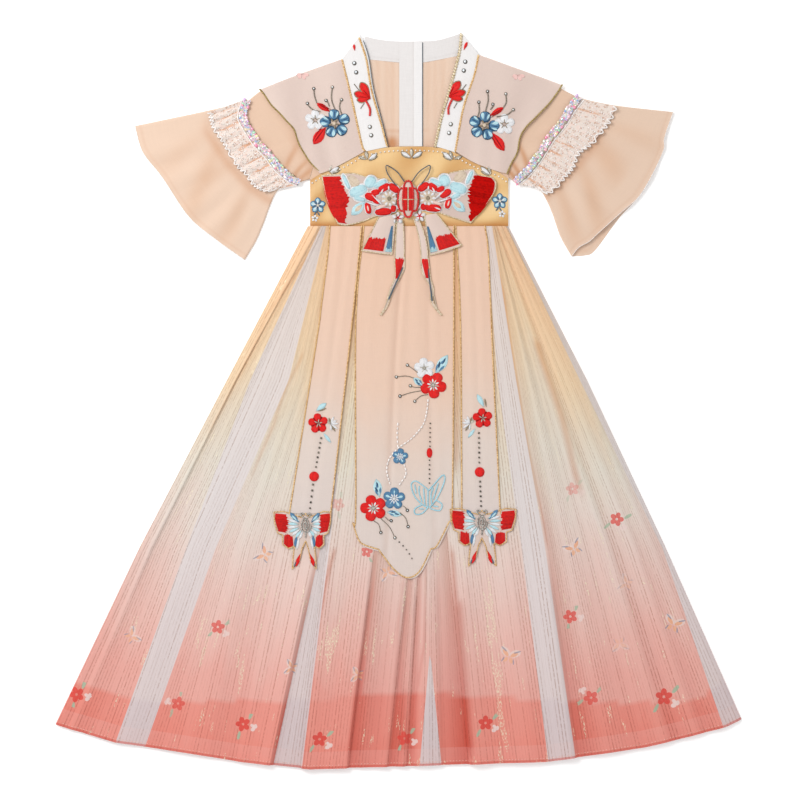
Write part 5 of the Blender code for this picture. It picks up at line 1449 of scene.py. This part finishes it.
PINK_BLOCKS = {"left": [(-24, 262.4, 15, 4, 10), (-41.4, 260.2, 8, 2.5, 102)],
    "right": [(52.6, 267.2, 13, 4, -14), (67.6, 267.2, 8, 2.5, 74)]}
TAN_BLOCKS = {"left": [(-61.5, 297, 20, 13, -42)], "right": [(83.5, 303, 20, 13, 42)]}
BOW_HEART = {"left": (-12.6, 273.2), "right": (39.8, 274)}
# Thin white lines on the bow: root, length, width and turn.
BOW_VEINS = {"left": [(-37, 279.4, 21, 2.2, -44), (-46.5, 269.4, 21, 2.2, -17), (-25, 279, 9, 2.2, 60),
    (-13, 284, 7, 2.2, 95), (-22, 262, 10, 2.2, 200), (-4, 266, 9, 2.2, -60)],
    "right": [(64, 286, 21, 2.2, 222), (72.5, 274.6, 21, 2.2, 196), (50, 281, 9, 2.2, 120),
    (40, 284, 7, 2.2, 85), (48, 262, 10, 2.2, -20), (31, 267, 9, 2.2, 240)]}
# Each wing's red tip runs from its outer line to its inner one: the left in red floss, the right in a
# darker copy of it, as painted shade.
RED_TIPS = {"left": ([(-103, 303.6), (-101, 284), (-95.5, 264), (-88.5, 249.5), (-81, 241.2)],
    [(-81, 304), (-76.5, 292), (-71, 281), (-69, 268), (-71.5, 255), (-71.5, 240)], RED),
    "right": ([(126, 302), (130.5, 294), (126.5, 277), (114, 258), (98.6, 242.8)],
    [(105, 306), (100, 295), (96.5, 284), (95.5, 272), (97, 260), (96.2, 244)], SHADED_RED)}


def sew_bow(side, ground):
    fills = [band(*RED_TIPS[side], 2.2, 34, 5, 0.1, 1.2)]
    for x, y, length, width, turn in SKY_BLOCKS[side] + RED_BLOCKS[side]:
        fills.append(pad(x, y, length + 4.4, width + 3.6, turn, WHITE, 0.1, 0.6))
    fills += [pad(*row, TAN, 0.1, 0.3) for row in TAN_BLOCKS[side]]
    fills += [pad(*row, SKY, 0.6, 1) for row in SKY_BLOCKS[side]]
    root, turn = {"left": ((-44.5, 270), 224), "right": ((69.5, 273.5), -40)}[side]
    fills += [leaf(*root, 27, 13, turn, SKY, 0.2, 0.3, 0.9),
        leaf(*root, 14, 6, turn, TAN, 1.1, 0.3, 0.3, 6)]
    heart = BOW_HEART[side]
    fills.append(disc(*heart, 10, TAN, 0.5, 1))
    fills += [leaf(*heart, 7, 3.4, turn, WHITE, 1, 0.6, 0.9, 4) for turn in around(0, 9)]
    for x, y, length, width, turn in RED_BLOCKS[side]:
        fills.append(pad(x, y, length + 2.2, width + 1.4, turn, RED, 0.8, 1.6))
    fills += [pad(*row, PINK, 2.1, 0.5) for row in PINK_BLOCKS[side]]
    fills += [leaf(*row, WHITE, 2.2, 0.4, 0.6) for row in BOW_VEINS[side]]
    fills += [disc(*heart, 5.6, TAN, 1.6, 0.6), disc(*heart, 3.2, STEM_FLOSS, 2.1, 0.6)]
    sewn(f"bow_wing_{side}_embroidery", ground, fills)


def make_knot():
    """The bow's body: a padded red oval, corded round, with a gold lattice and cord feelers."""
    x, y = CENTRE_X, KNOT_Y
    share, way = 2 * dense_ends(12)[:7, None], np.linspace(0, 2 * pi, 49)[None]
    narrow = 1 - 0.52 * np.abs(np.sin(way)) ** 6
    across = KNOT_HALF_WIDTH * share * np.cos(way) * narrow
    grid = np.stack([x + across, y + KNOT_HALF_HEIGHT * share * np.sin(way)], 2)
    top = raised(grid, BOW_Z + 9 - 5 * share ** 2.5)
    piece = shell("bow_knot_ground", top, CAPE_ORGANZA, wall=0.8, floor=BOW_Z, tone=0.4)
    ground = Ground(worn(piece, "embroidery", "bow_knot"))
    fills = [band([(x + a, y + 17), (x + b, y + 17)], [(x + a, y - 15), (x + b, y - 15)], RED, 0, 7, 10,
        0.2, 1.3) for a, b in ((-5.6, -0.9), (0.9, 5.6))]
    fills += [band([(x + way * 8, y + 10), (x + way * 12.5, y + 4)],
        [(x + way * 8, y - 10), (x + way * 12.5, y - 6)], PINK, 0, 7, 8, 0.1, 0.6) for way in (-1, 1)]
    sewn("bow_knot_stitches", ground, fills)
    turn = np.linspace(0, 2 * pi, 60)
    wave = np.sin(turn)
    loops = [np.stack([x + 6.9 * np.sign(wave) * np.abs(wave) ** 0.65, y + 1 + 24.5 * np.cos(turn)], 1)]
    t = np.linspace(0, pi, 30)
    loops += [np.stack([x + way * (7.2 + 6.6 * np.sin(t) ** 0.6), y - 15.5 * np.cos(t)], 1)
        for way in (-1, 1)]
    rope("bow_knot_cording", [ground.lay(loop, 0.8) for loop in loops], RED_YARN, 1.25, "embroidery")
    cross = [[(x, y + 17), (x, y - 15)], [(x - 13, y), (x + 13, y)]]
    threads("bow_knot_lattice", "gold_cord", laid_on(ground, cross, 12, 1.5), PALE_GOLD, 0.55)
    curl = np.array([(4, 23), (14, 37), (25, 45), (30, 46), (28, 36), (20, 24), (11, 14)])
    rise = BOW_Z + 2.2 + 2 * np.sin(pi * even(40))
    feelers = [np.column_stack([run(curl * (way, 1) + (x, y), even(40)), rise]) for way in (-1, 1)]
    threads("bow_feelers", "gold_cord", feelers, SLATE_YARN, 0.75, 8)


def make_tails(skirt, hangings):
    """Two wide and two thin tails that hang from the knot over the centre panel."""
    ground, made = Ground(skirt, *hangings.values()), []
    for side in SIDES:
        grid = patch(*TAIL_WIDE[side], even(30), even(34))
        low = float(ground.lay(grid, 0)[..., 2].max()) + SEAM
        top = raised(grid, low + 0.8 + 1.2 * np.sin(pi * even(30))[None])
        piece = sheet(f"bow_tail_wide_{side}_organza", "pink_organza", top, CAPE_ORGANZA, wall=0.8,
            floor=low, tone=0.3)
        made.append(piece)
        red, blue = {"left": ((0.03, 0.7), (0.76, 0.98)), "right": ((0.3, 0.97), (0.02, 0.24))}[side]
        (red_foot, red_top), (blue_foot, blue_top) = [[run(grid[int(y * 34)], np.linspace(*ends, 12))
            for y in places] for ends, places in ((red, (0.96, 0.62)), (blue, (0.97, 0.87)))]
        tip = grid[int(0.3 * 34), int(sum(blue) / 2 * 30)]
        fills = [band(red_foot, red_top, RED, 1.8, 20, 6, 0.1, 1.2),
            band(blue_foot, [tip - (1.2, 0), tip + (1.2, 0)], BLUE, 0.6, 8, 9, 0.1, 0.9),
            band(blue_foot, blue_top, SKY, 2.2, 8, 4, 0.9, 0.4)]
        sewn(f"bow_tail_wide_{side}_stitches", Ground(piece), fills)
        rope(f"bow_tail_wide_{side}_edge", round_foot(top, 0.2), PALE_GOLD, 0.65)
        y, left, right = run(TAIL_THIN[side], even(60)).T[..., None]
        across = even(8)[None]
        grid = np.stack([left * (1 - across) + right * across, y + 0 * across], 2)
        top = raised(grid, low + 0.8 + 0.3 * np.sin(pi * across))
        piece = sheet(f"bow_tail_thin_{side}_organza", "pink_organza", top, CAPE_ORGANZA, wall=0.7,
            floor=low)
        made.append(piece)
        row = lambda value, a=1, b=8: grid[int(np.abs(y - value).argmin()), a:b]
        block = [band(row(165), row(192, 0, 9), RED, 1.8, 8, 6, 0.1, 1.1),
            band(row(136, 2, 8), row(180, 6, 8), SLATE, 0.6, 5, 12, 0.9, 0.7),
            band(row(122, 2, 7), row(152, 2, 7), TAN, 0, 5, 8, 0.1, 0.6)]
        sewn(f"bow_tail_thin_{side}_stitches", Ground(piece), block)
        rope(f"bow_tail_thin_{side}_edge", both_sides(top, 0.2), PALE_GOLD, 0.6)
    return made


def sew_stars(ground):
    """Two small white blossoms with red hearts, under the knot."""
    fills = []
    for place in ((-0.8, 247.6), (28.6, 250.4)):
        fills += [pad(*place, 7.2, 5, turn, WHITE, 1.4, 1, 4.8) for turn in around(18)]
        fills += [pad(*place, 4.2, 1.4, turn, RED, 2.4, 0.5, 2.2) for turn in around(54)]
    sewn("bow_small_blossoms", ground, fills)


# One wing of an applique butterfly: its red tips as two lines, jag, columns, rows, lift and rise;
# its strokes as root, length, width, turn, floss, lift, bluntness and rise; its rays as turn,
# length and floss.
WING_TIPS = [([(41, 14.5), (41.5, 8), (40, 0), (37, -10)], [(26, 13), (25, 6), (25, -2), (26, -12)], RED, 2,
    18, 5, 0.1, 1.3), ([(29.5, -27), (22.5, -32), (16.5, -29)], [(29, -15), (23, -15), (17.5, -17)], RED,
    1.4, 12, 5, 0.1, 1.2)]
WING_STROKES = [(7, -40, 19, 5.4, -70, RED, 0.1, 0.4, 1.1), (11, -48, 12, 2.4, -66, SLATE, 0.1, 0.2, 1),
    (9, 2, 18, 6.4, 48, BLUE, 0.2, 0.4, 1.1), (11, 4, 11, 2.6, 46, SKY, 1.2, 0.3, 0.5),
    (12, -14, 18, 4.4, -82, BLUE, 0.1, 0.3, 0.9), (8.5, -15, 20, 3.6, -80, WHITE, 0.1, 0.3, 0.8)]
WING_RAYS = [(30, 15, SKY), (17, 16, WHITE), (4, 16, SKY), (-10, 16, WHITE), (-24, 16, SKY),
    (-38, 15, WHITE), (-52, 14, SKY), (-66, 12, WHITE)]


def make_butterfly(side, ground):
    """A stitched applique on net: red blocks at the wing tips, blue strokes, a corded body."""
    spec = BUTTERFLIES[side]
    x, y = place = np.array((spec.x, spec.y))
    half = np.array(BUTTERFLY_HALF, float)
    outline = np.vstack([half * (spec.right_scale, 1), (half * (-spec.left_scale, 1))[-2:0:-1]])
    corners = np.vstack([outline, outline[:1]])
    ring = np.vstack([*(run(ends, even(3))[:-1] for ends in zip(corners, corners[1:])), outline[:1]])
    heart, share = np.array((0, -4)), even(8)[:, None, None]
    grid = place + heart + (ring[None] - heart) * share
    low = float(ground.lay(grid[::3, ::6], 0)[..., 2].max()) + SEAM
    top = raised(grid, low + 1 - 0.3 * share[..., 0] ** 2)
    piece = shell(f"butterfly_{side}_net", top, CAPE_ORGANZA, wall=0.7, floor=low, tone=0.2)
    own = Ground(worn(piece, "embroidery", f"butterfly_{side}"))
    fills = []
    for way, size in ((-1, spec.left_scale), (1, spec.right_scale)):
        at = lambda points: np.array(points) * (way * size, 1) + place
        turned = lambda turn: turn if way > 0 else 180 - turn
        fills += [band(at(outer), at(inner), *rest) for outer, inner, *rest in WING_TIPS]
        fills += [leaf(*at(row[:2]), *row[2:4], turned(row[4]), *row[5:]) for row in WING_STROKES]
        for turn, length, floss in WING_RAYS:
            fills.append(leaf(x, y - 1, length * size, 4, turned(turn), floss, 0.15, 0.5, 0.9, 8.5))
    sewn(f"butterfly_{side}_stitches", own, fills)
    a = np.linspace(0.4, 4 * pi, 60)
    swirl = np.stack([x + (2 + 0.55 * a) * np.cos(a) * 0.8, y - 1 + (2 + 0.75 * a) * np.sin(a)], 1)
    spine = [(x, y + 6), (x + 1, y - 4), (x, y - 18)]
    lines = laid_on(own, (swirl, spine), 40, 1.2)
    for way in (-1, 1):
        feeler = [(x + way * across, y + up) for across, up in ((1.5, 8), (7, 12), (5, 15), (2, 13))]
        lines.append(np.column_stack([run(feeler, even(16)), np.full(17, low + 1.6)]))
    rope(f"butterfly_{side}_body", lines, SILVER_CORD, 0.75, "rhinestone")
    edge = np.column_stack([ring + place, np.full(len(ring), low + 1)])
    rope(f"butterfly_{side}_edge", [edge], GOLD, 0.7)


# ---------------------------------------------------------------- embroidery of the cloth
# Sprays on the cape: petals of the blue flower, its heart, the white flower, the red leaves as
# root, length, width and turn, the stalks, which end in beads, and a faint print.
Spray = namedtuple("Spray", "heart petals white leaves stalks faint")
SPRAYS = {"left": Spray((-87.6, 375.6), [(-87.5, 387.6), (-74, 381.4), (-77.4, 367), (-91, 364.8),
    (-99.4, 378.4)], (-113, 380.5), [(-92.5, 391.6, 22, 8, 148), (-98.5, 371, 29, 14, 234)],
    [[(-106, 391.7), (-116, 394.5), (-121.3, 399), (-123.6, 403)],
    [(-111, 404), (-114, 413.7), (-114.9, 423)], [(-93.7, 399), (-95.9, 404.6), (-98.2, 407)],
    [(-85.8, 394), (-90.3, 405.8), (-90.9, 414.8), (-89.7, 424.9)],
    [(-76.8, 387.7), (-79.6, 395.6), (-79.6, 401.8), (-77.3, 408)]], (-131, 443.5)),
    "right": Spray((116.4, 373.2), [(117.6, 384.6), (103.8, 378.6), (106.4, 365), (120.8, 361.4),
    (129.8, 372.6)], (143.6, 374.6), [(123.6, 386.2, 22, 8, 31), (127, 363.6, 30, 13, -57)],
    [[(106.6, 383.5), (109.4, 392.2), (108.9, 404.6)],
    [(116.8, 389), (120.1, 400), (121.8, 409), (120.7, 419.3)],
    [(124.6, 394.5), (128.6, 399.6), (128, 401.8)], [(142, 397), (146.1, 404.6), (145.5, 415.9)],
    [(133, 384.9), (146.6, 387.2), (155.7, 394.5)]], (162, 442))}


def sew_cape(side, ground):
    """A spray of a blue flower, a white one and two red leaves, with beaded stalks."""
    spray = SPRAYS[side]
    stems(f"cape_{side}_stalks", ground, spray.stalks, STEM_YARN, 0.85)
    fills = []
    for turn in around(18):
        fills += [pad(*spray.white, 12, 10.5, turn, WHITE, 0.1, 1, 8.4),
            leaf(*spray.white, 6, 1.6, turn, STEM_FLOSS, 1, 0.2, 0.4, 1)]
    for x, y, length, width, turn in spray.leaves:
        fills += [leaf(x, y, length, width, turn, RED, 0.3, 0.3, 1.3),
            leaf(x, y, 0.8 * length, 1.8, turn, DEEP_RED, 1.6, 0.2, 0.3, 2, -0.5),
            leaf(x, y, 0.9 * length, 2, turn, DEEP_RED, 1.1, 0.2, 0.4, 0.5, -0.36 * width, 4)]
    for k, (x, y) in enumerate(spray.petals):
        turn = float(np.degrees(np.arctan2(y - spray.heart[1], x - spray.heart[0])))
        lift = 0.08 * k
        fills += [pad(x, y, 15.5, 15, turn, DEEP_BLUE, 0.2 + lift, 0.7),
            pad(x, y, 13.2, 12.2, turn, BLUE, 0.55 + lift, 0.7, 0.4, 0.6),
            leaf(x, y, 10.5, 4.6, turn, SKY, 1.15 + lift, 0.7, 0.3, -4.6, 2.2, 12),
            leaf(x, y, 9.5, 3, turn, SKY, 1.15 + lift, 0.7, 0.3, -4.6, -2.8, -16),
            leaf(x, y, 9, 1.5, turn, DEEP_BLUE, 1.3 + lift, 0.3, 0.3, -3.6, -0.4, -4),
            leaf(*spray.heart, 8, 2, turn + 30, STEM_FLOSS, 2.3, 0.3, 0.4)]
    fills.append(disc(*spray.heart, 2.6, TAN, 2.4, 0.6))
    sewn(f"cape_{side}_embroidery", ground, fills)
    marks = ((-15, 10), (200, 8), (235, 8), (300, 9))
    faint = [leaf(*spray.faint, size, 5, turn, PALE_ROSE, 0, 0.6, 0.2) for turn, size in marks]
    sewn(f"cape_{side}_faint_print", ground, faint)


# Collar bands: the root of a red blossom, its petals as length, width and turn, its tail, grey
# stems, a red stroke near the top, and the set stones.
Twig = namedtuple("Twig", "root petals tail stems stroke stones")
TWIGS = {"left": Twig((-37.8, 409.6), [(25, 8.5, 122), (23, 7.5, 161), (18, 6, 186)],
    [(-44.5, 407), (-40.5, 400), (-38.5, 394), (-39, 386)],
    [[(-60.4, 429.5), (-52, 419.3), (-44, 413)], [(-46.5, 403.5), (-51.6, 396)]],
    (-59.5, 474.5, 9, 3.6, 97), [(-59.9, 457.6), (-57.4, 445.2), (-38.8, 371.2), (-37, 359.8)]),
    "right": Twig((67.6, 412), [(26, 8.5, 53), (24, 7.5, 17), (19, 6, -9)],
    [(72.8, 409), (69.6, 402), (67.6, 396), (67.8, 388)],
    [[(91.9, 428.9), (84, 419.5), (76, 415)], [(79.5, 404), (75, 396.5)]], (88.4, 475.5, 12, 4, 66),
    [(90.6, 459.6), (88.6, 447.6), (71, 374.8), (68.6, 362.9)])}


# A set stone as two discs: offset, radius, finish, lift and rise.
SET_STONE = [(0, 0, 3, HEMATITE, 0.1, 1), (-0.4, 0.3, 1.8, STONE, 0.9, 1.2)]


def sew_collar(side, ground):
    """A red blossom in side view on grey stems, a red stroke, and two pairs of set stones."""
    twig = TWIGS[side]
    stems(f"collar_{side}_stem", ground, twig.stems, STEM_YARN, 0.6, beads=False)
    fills = [leaf(*twig.root, length + more, width + wider, turn, floss, lift + 0.2 * k, 0.75, rise)
        for more, wider, floss, lift, rise in ((1.2, 4.4, STEM_FLOSS, 0.1, 0.5), (0, 2, RED, 0.4, 1.2))
        for k, (length, width, turn) in enumerate(twig.petals)]
    fills += [leaf(*twig.root, 12, 1.2, petal[2] + 9, DEEP_RED, 1.6, 0.2, 0.3, 4)
        for petal in twig.petals[:2]]
    fills.append(leaf(*twig.stroke, RED, 0.3, 0.5, 1))
    sewn(f"collar_{side}_embroidery", ground, fills)
    threads(f"collar_{side}_tail", "embroidery", laid_on(ground, [twig.tail], 10, 0.6), RED_YARN, 1.5, 8)
    gems = [disc(x + a, y + b, *bead) for x, y in twig.stones for a, b, *bead in SET_STONE]
    sewn(f"collar_{side}_stones", ground, gems, "rhinestone")


# Leaves stitched along the arch of the waistband: root, length, width, turn and whether white.
ARCH_LEAVES = [(-94, 309, 15, 4.6, 30, True), (-95, 310, 10, 3.2, 62, False),
    (-92.5, 307.5, 13, 2, 20, False), (-41, 326.4, 14, 4.8, 36, True), (-42, 327, 11, 4, 102, False),
    (-43, 327, 11, 3.4, 160, False), (-40, 325.2, 12, 1.8, 28, False), (17, 329.6, 15, 5, 150, True),
    (18.6, 329.6, 15, 5, 30, True), (17.8, 330, 11, 4, 90, False), (17, 328.4, 13, 1.8, 158, False),
    (18.6, 328.4, 13, 1.8, 22, False), (73, 326.6, 16, 5, 142, True), (74, 327, 12, 3.4, 112, False),
    (75, 327.6, 11, 3.6, 18, False), (71.5, 325.4, 12, 1.8, 150, False), (125, 305.8, 17, 4.6, 140, True),
    (126, 306.6, 12, 3.2, 112, False), (123.5, 304.6, 13, 1.9, 150, False)]


def sew_band(ground):
    """Beads along the arch, white and silver leaves, and a blue lattice flower at either end."""
    arch = arch_line(BAND_ARCH[0][0] + 3, BAND_ARCH[-1][0] - 3, -5.5)
    grains("waistband_beads", "rhinestone", laid_on(ground, [arch], 120, 0.9), PEARL, 6, 1.2)
    fills = []
    for x, y, length, width, turn, _ in ARCH_LEAVES:
        fills.append(leaf(x, y, length + 1.5, width + 2, turn, STEM_FLOSS, 0.2, 0.3, 0.5))
    for *row, white in ARCH_LEAVES:
        fills.append(leaf(*row, *((WHITE, 1.1) if white else (SILVER, 0.9)), 0.35, 0.9))
    for x, y in ((-109.6, 264.8), (137.4, 270.6)):
        for turn in around(18):
            fills += [leaf(x, y, 11, 8.4, turn, BLUE, 0.1, 0.6, 0.9),
                leaf(x, y, 7.6, 4.6, turn, SKY, 1, 0.5, 0.5, 2),
                leaf(x, y, 6.2, 1.6, turn, WHITE, 1.6, 0.4, 0.4, 1),
                leaf(x, y, 8.6, 1.3, turn + 36, SLATE, 0.5, 0.3, 0.5)]
        fills.append(disc(x, y, 2, SILVER, 1.9, 0.6))
        fills += [leaf(x - 1, y - 8, 7, 2.2, turn, SLATE, 0.2, 0.2, 0.6) for turn in (-130, -60)]
        star = (x - 4 if x < 0 else x + 3, y - 17.5)
        fills += [leaf(*star, 5, 3.2, turn, WHITE, 0.2, 0.6, 0.7) for turn in around(10)]
        fills.append(disc(*star, 1.3, STEM_FLOSS, 1, 0.5))
    sewn("waistband_leaves", ground, fills)


# Stitched lines of the centre panel.
PANEL_STALKS = [[(34, 30), (22, 41), (12, 48)], [(30, 27), (12, 33), (-3, 32)],
    [(34, 18), (22, 18), (16, 20)], [(36, 14), (18, 11), (2, 6)], [(40, 8), (30, 6), (22, -1)],
    [(-34, -163), (-27, -168), (-24, -179)], [(-24, -160), (-12, -172), (-5, -186)],
    [(6, -143), (9, -145), (12, -149)], [(2, -152), (10, -160), (13, -171)],
    [(-18, -158), (-14, -162), (-10, -163)]]
PANEL_VINE = [[(40, 0), (38, -16), (33, -33), (18, -51), (-1, -65), (-13, -80), (-16, -96), (-12, -112)],
    [(-1, -32), (-2, -46), (-1, -62)], [(8, -88), (10, -100), (2, -113)]]
PANEL_BEADS = [[(43, -31), (42.5, -62)], [(42, -81), (42, -112)],
    [(1, -192), (9, -200), (14, -207), (18, -214)]]
PANEL_WINGS = [[(40, -121), (30, -113), (22, -109), (17, -115), (22, -130), (32, -141), (40, -145)],
    [(41, -122), (48, -114), (60, -101), (63, -106), (58, -121), (50, -136), (42, -145)],
    [(32, -141), (22, -147), (23, -154), (32, -153), (40, -145)],
    [(51, -135), (59, -141), (56, -149), (47, -148), (42, -145)], [(40, -145), (40, -121)],
    [(28, -116), (28, -125), (32, -138)], [(54, -112), (51, -122), (47, -134)],
    [(34, -119), (35, -132), (36, -142)], [(47, -118), (44, -128), (45, -140)], [(22, -114), (24, -126)],
    [(28, -147), (34, -147)], [(47, -143), (54, -144)]]


def sew_panel(ground):
    """Upper spray, beaded vine, outline butterfly and lower spray of the centre panel."""
    fills = flower(47, 21, 18, 60, RED, lift=0.3) + flower(35, 44, 14, 25, WHITE, lift=0.1)
    fills += two_tone_leaf(50, 36, 31, 13, 57) + two_tone_leaf(33, 20, 17, 9, 140)
    fills += flower(2, -76, 11, 10, BLUE, WHITE, 0.2)
    fills += [leaf(2, -76, 6, 3.2, turn, SKY, 1.1, 0.7, 0.5, 2.5) for turn in around(10)]
    fills += flower(-34, -146, 18, 35, RED, lift=0.3) + flower(-6, -133, 15, 15, BLUE, WHITE, 0.1)
    fills += [leaf(-6, -133, 8.5, 4.5, turn, SKY, 1, 0.7, 0.5, 4) for turn in around(15)]
    fills += two_tone_leaf(-26, -131, 25, 12, 100) + two_tone_leaf(-16, -151, 21, 9, -12)
    fills.append(disc(42, -71, 4, RED, 0.2, 1.6, 1.7))
    sewn("panel_embroidery", ground, fills)
    stems("panel_stalks", ground, PANEL_STALKS, STEM_YARN)
    chain("panel_vine", "embroidery", ground, PANEL_VINE, WHITE_YARN, 5.2, 1.15, 2.1)
    chain("panel_bead_lines", "rhinestone", ground, PANEL_BEADS, HEMATITE, 6, 1.15)
    threads("panel_outline_butterfly", "embroidery", laid_on(ground, PANEL_WINGS, 24, 0.6), SKY_YARN, 0.8)


# Streamers: the red flower, the white one, two thin leaves as root, length, width and turn, the
# beaded lines and the red drop between them.
Posy = namedtuple("Posy", "red white upper lower beads drop")
POSIES = {"left": Posy((-109, -31), (-92, -32), (-112, -14.5, 18, 7.5, 38), (-102, -44, 17, 4.5, -52),
    [[(-105, -51), (-112, -90)], [(-116, -114), (-120, -146)]], (-114.5, -103)),
    "right": Posy((114, -24), (97, -31), (116, -9, 20, 7, 118), (104, -38, 16, 4.5, -128),
    [[(109, -44), (109.5, -84)], [(110.5, -110), (112, -143)]], (110, -97))}
# Petals of the white flower: turn, length and floss.
WHITE_PETALS = [(105, 9, STEM_FLOSS), (68, 11, WHITE), (35, 10, WHITE), (5, 11, WHITE), (-35, 12, WHITE),
    (-58, 12, STEM_FLOSS), (-85, 9, WHITE), (140, 7, SILVER)]


def sew_streamer(side, ground):
    """A red flower with a white one, two thin leaves and a beaded line down to the butterfly."""
    posy = POSIES[side]
    fills = [disc(*posy.red, 10.5, DEEP_RED, 0.2, 0.8)]
    for k, turn in enumerate(around(24)):
        fills += [pad(*posy.red, 11, 10.2, turn, RED, 0.3 + 0.1 * (k % 2), 1.3, 8.2),
            leaf(*posy.red, 8.5, 1.6, turn + 36, DEEP_RED, 1.2, 0.3, 0.5, 1)]
    fills += [leaf(*posy.red, 6, 1.5, turn, SILVER, 1.5, 0.3, 0.5) for turn in (15, 80, 150, 250, 310)]
    for turn, length, floss_of in WHITE_PETALS:
        turn = turn if side == "left" else 180 - turn
        fills.append(leaf(*posy.white, length, 3, turn, floss_of, 0.4, 0.2, 0.7))
    x, y, _, _, turn = posy.upper
    fills += [leaf(*posy.upper, SKY, 0.2, 0.2, 0.9), leaf(*posy.lower, SKY, 0.2, 0.1, 0.8),
        leaf(x + 3, y, 12, 2.6, turn - 18, STEM_FLOSS, 0.3, 0.2, 0.6), disc(*posy.drop, 6.8, RED, 0.2, 2)]
    sewn(f"streamer_{side}_embroidery", ground, fills)
    chain(f"streamer_{side}_beads", "rhinestone", ground, posy.beads, HEMATITE, 6.6, 1.5)


def main():
    skirt = make_skirt_front()
    make_skirt_layers()
    band_piece = make_waistband()
    make_bodice()
    make_zip_guard()
    collars = make_collar()
    capes = make_cape()
    make_sleeves()
    hangings = make_hangings(skirt)
    wings = make_bow()
    for side in SIDES:
        sew_bow(side, wings[side])
        sew_cape(side, Ground(capes[side]))
        sew_collar(side, Ground(collars[side]))
        sew_streamer(side, Ground(hangings[side]))
        make_butterfly(side, Ground(skirt, *hangings.values()))
    make_knot()
    tails = make_tails(skirt, hangings)
    sew_stars(Ground(band_piece, *tails))
    sew_band(Ground(band_piece))
    sew_panel(Ground(hangings["centre"]))


main()

# ---------------------------------------------------------------- studio
scene = bpy.context.scene
scene.view_settings.view_transform = "Standard"
world = bpy.data.worlds.new("studio")
scene.world = world
world.use_nodes = True
world.node_tree.nodes["Background"].inputs["Color"].default_value = (1, 1, 1, 1)
world.node_tree.nodes["Background"].inputs["Strength"].default_value = 0.7


def area_light(name, place, size, power):
    """A square light that shines at the middle of the dress."""
    light = bpy.data.lights.new(name, "AREA")
    light.size, light.energy = size, power
    lamp = placed(name, light)
    lamp.location = place
    lamp.rotation_euler = (-Vector(place)).to_track_quat("-Z", "Y").to_euler()


area_light("key_light", (-1.3, 1, 1.8), 1, 34)
area_light("fill_light", (1.6, -1, 2.6), 2, 9)

# The white paper floor glows a little, as painted light that washes out the shadows on it.
backdrop, add = started("white_paper")
fibres = add("TexNoise", add("TexCoord", out="Object"), Scale=60)
shade = add("ValToRGB", fibres, stops=[(0, "#FDFDFD"), (1, "#FFFFFF")])
ended(add, shade, fibres, 0.01, 0.9, Emission_Color=(1, 1, 1, 1), Emission_Strength=0.12)
bpy.ops.mesh.primitive_plane_add(size=8, location=(0, 0, 0))
floor = bpy.context.object
floor.name = "floor"
floor.data.materials.append(backdrop)

camera = placed("camera", bpy.data.cameras.new("camera"))
camera.data.lens, camera.data.sensor_width = 99.3, 36
camera.location = (0.002, 0.0007, 3)
scene.camera = camera
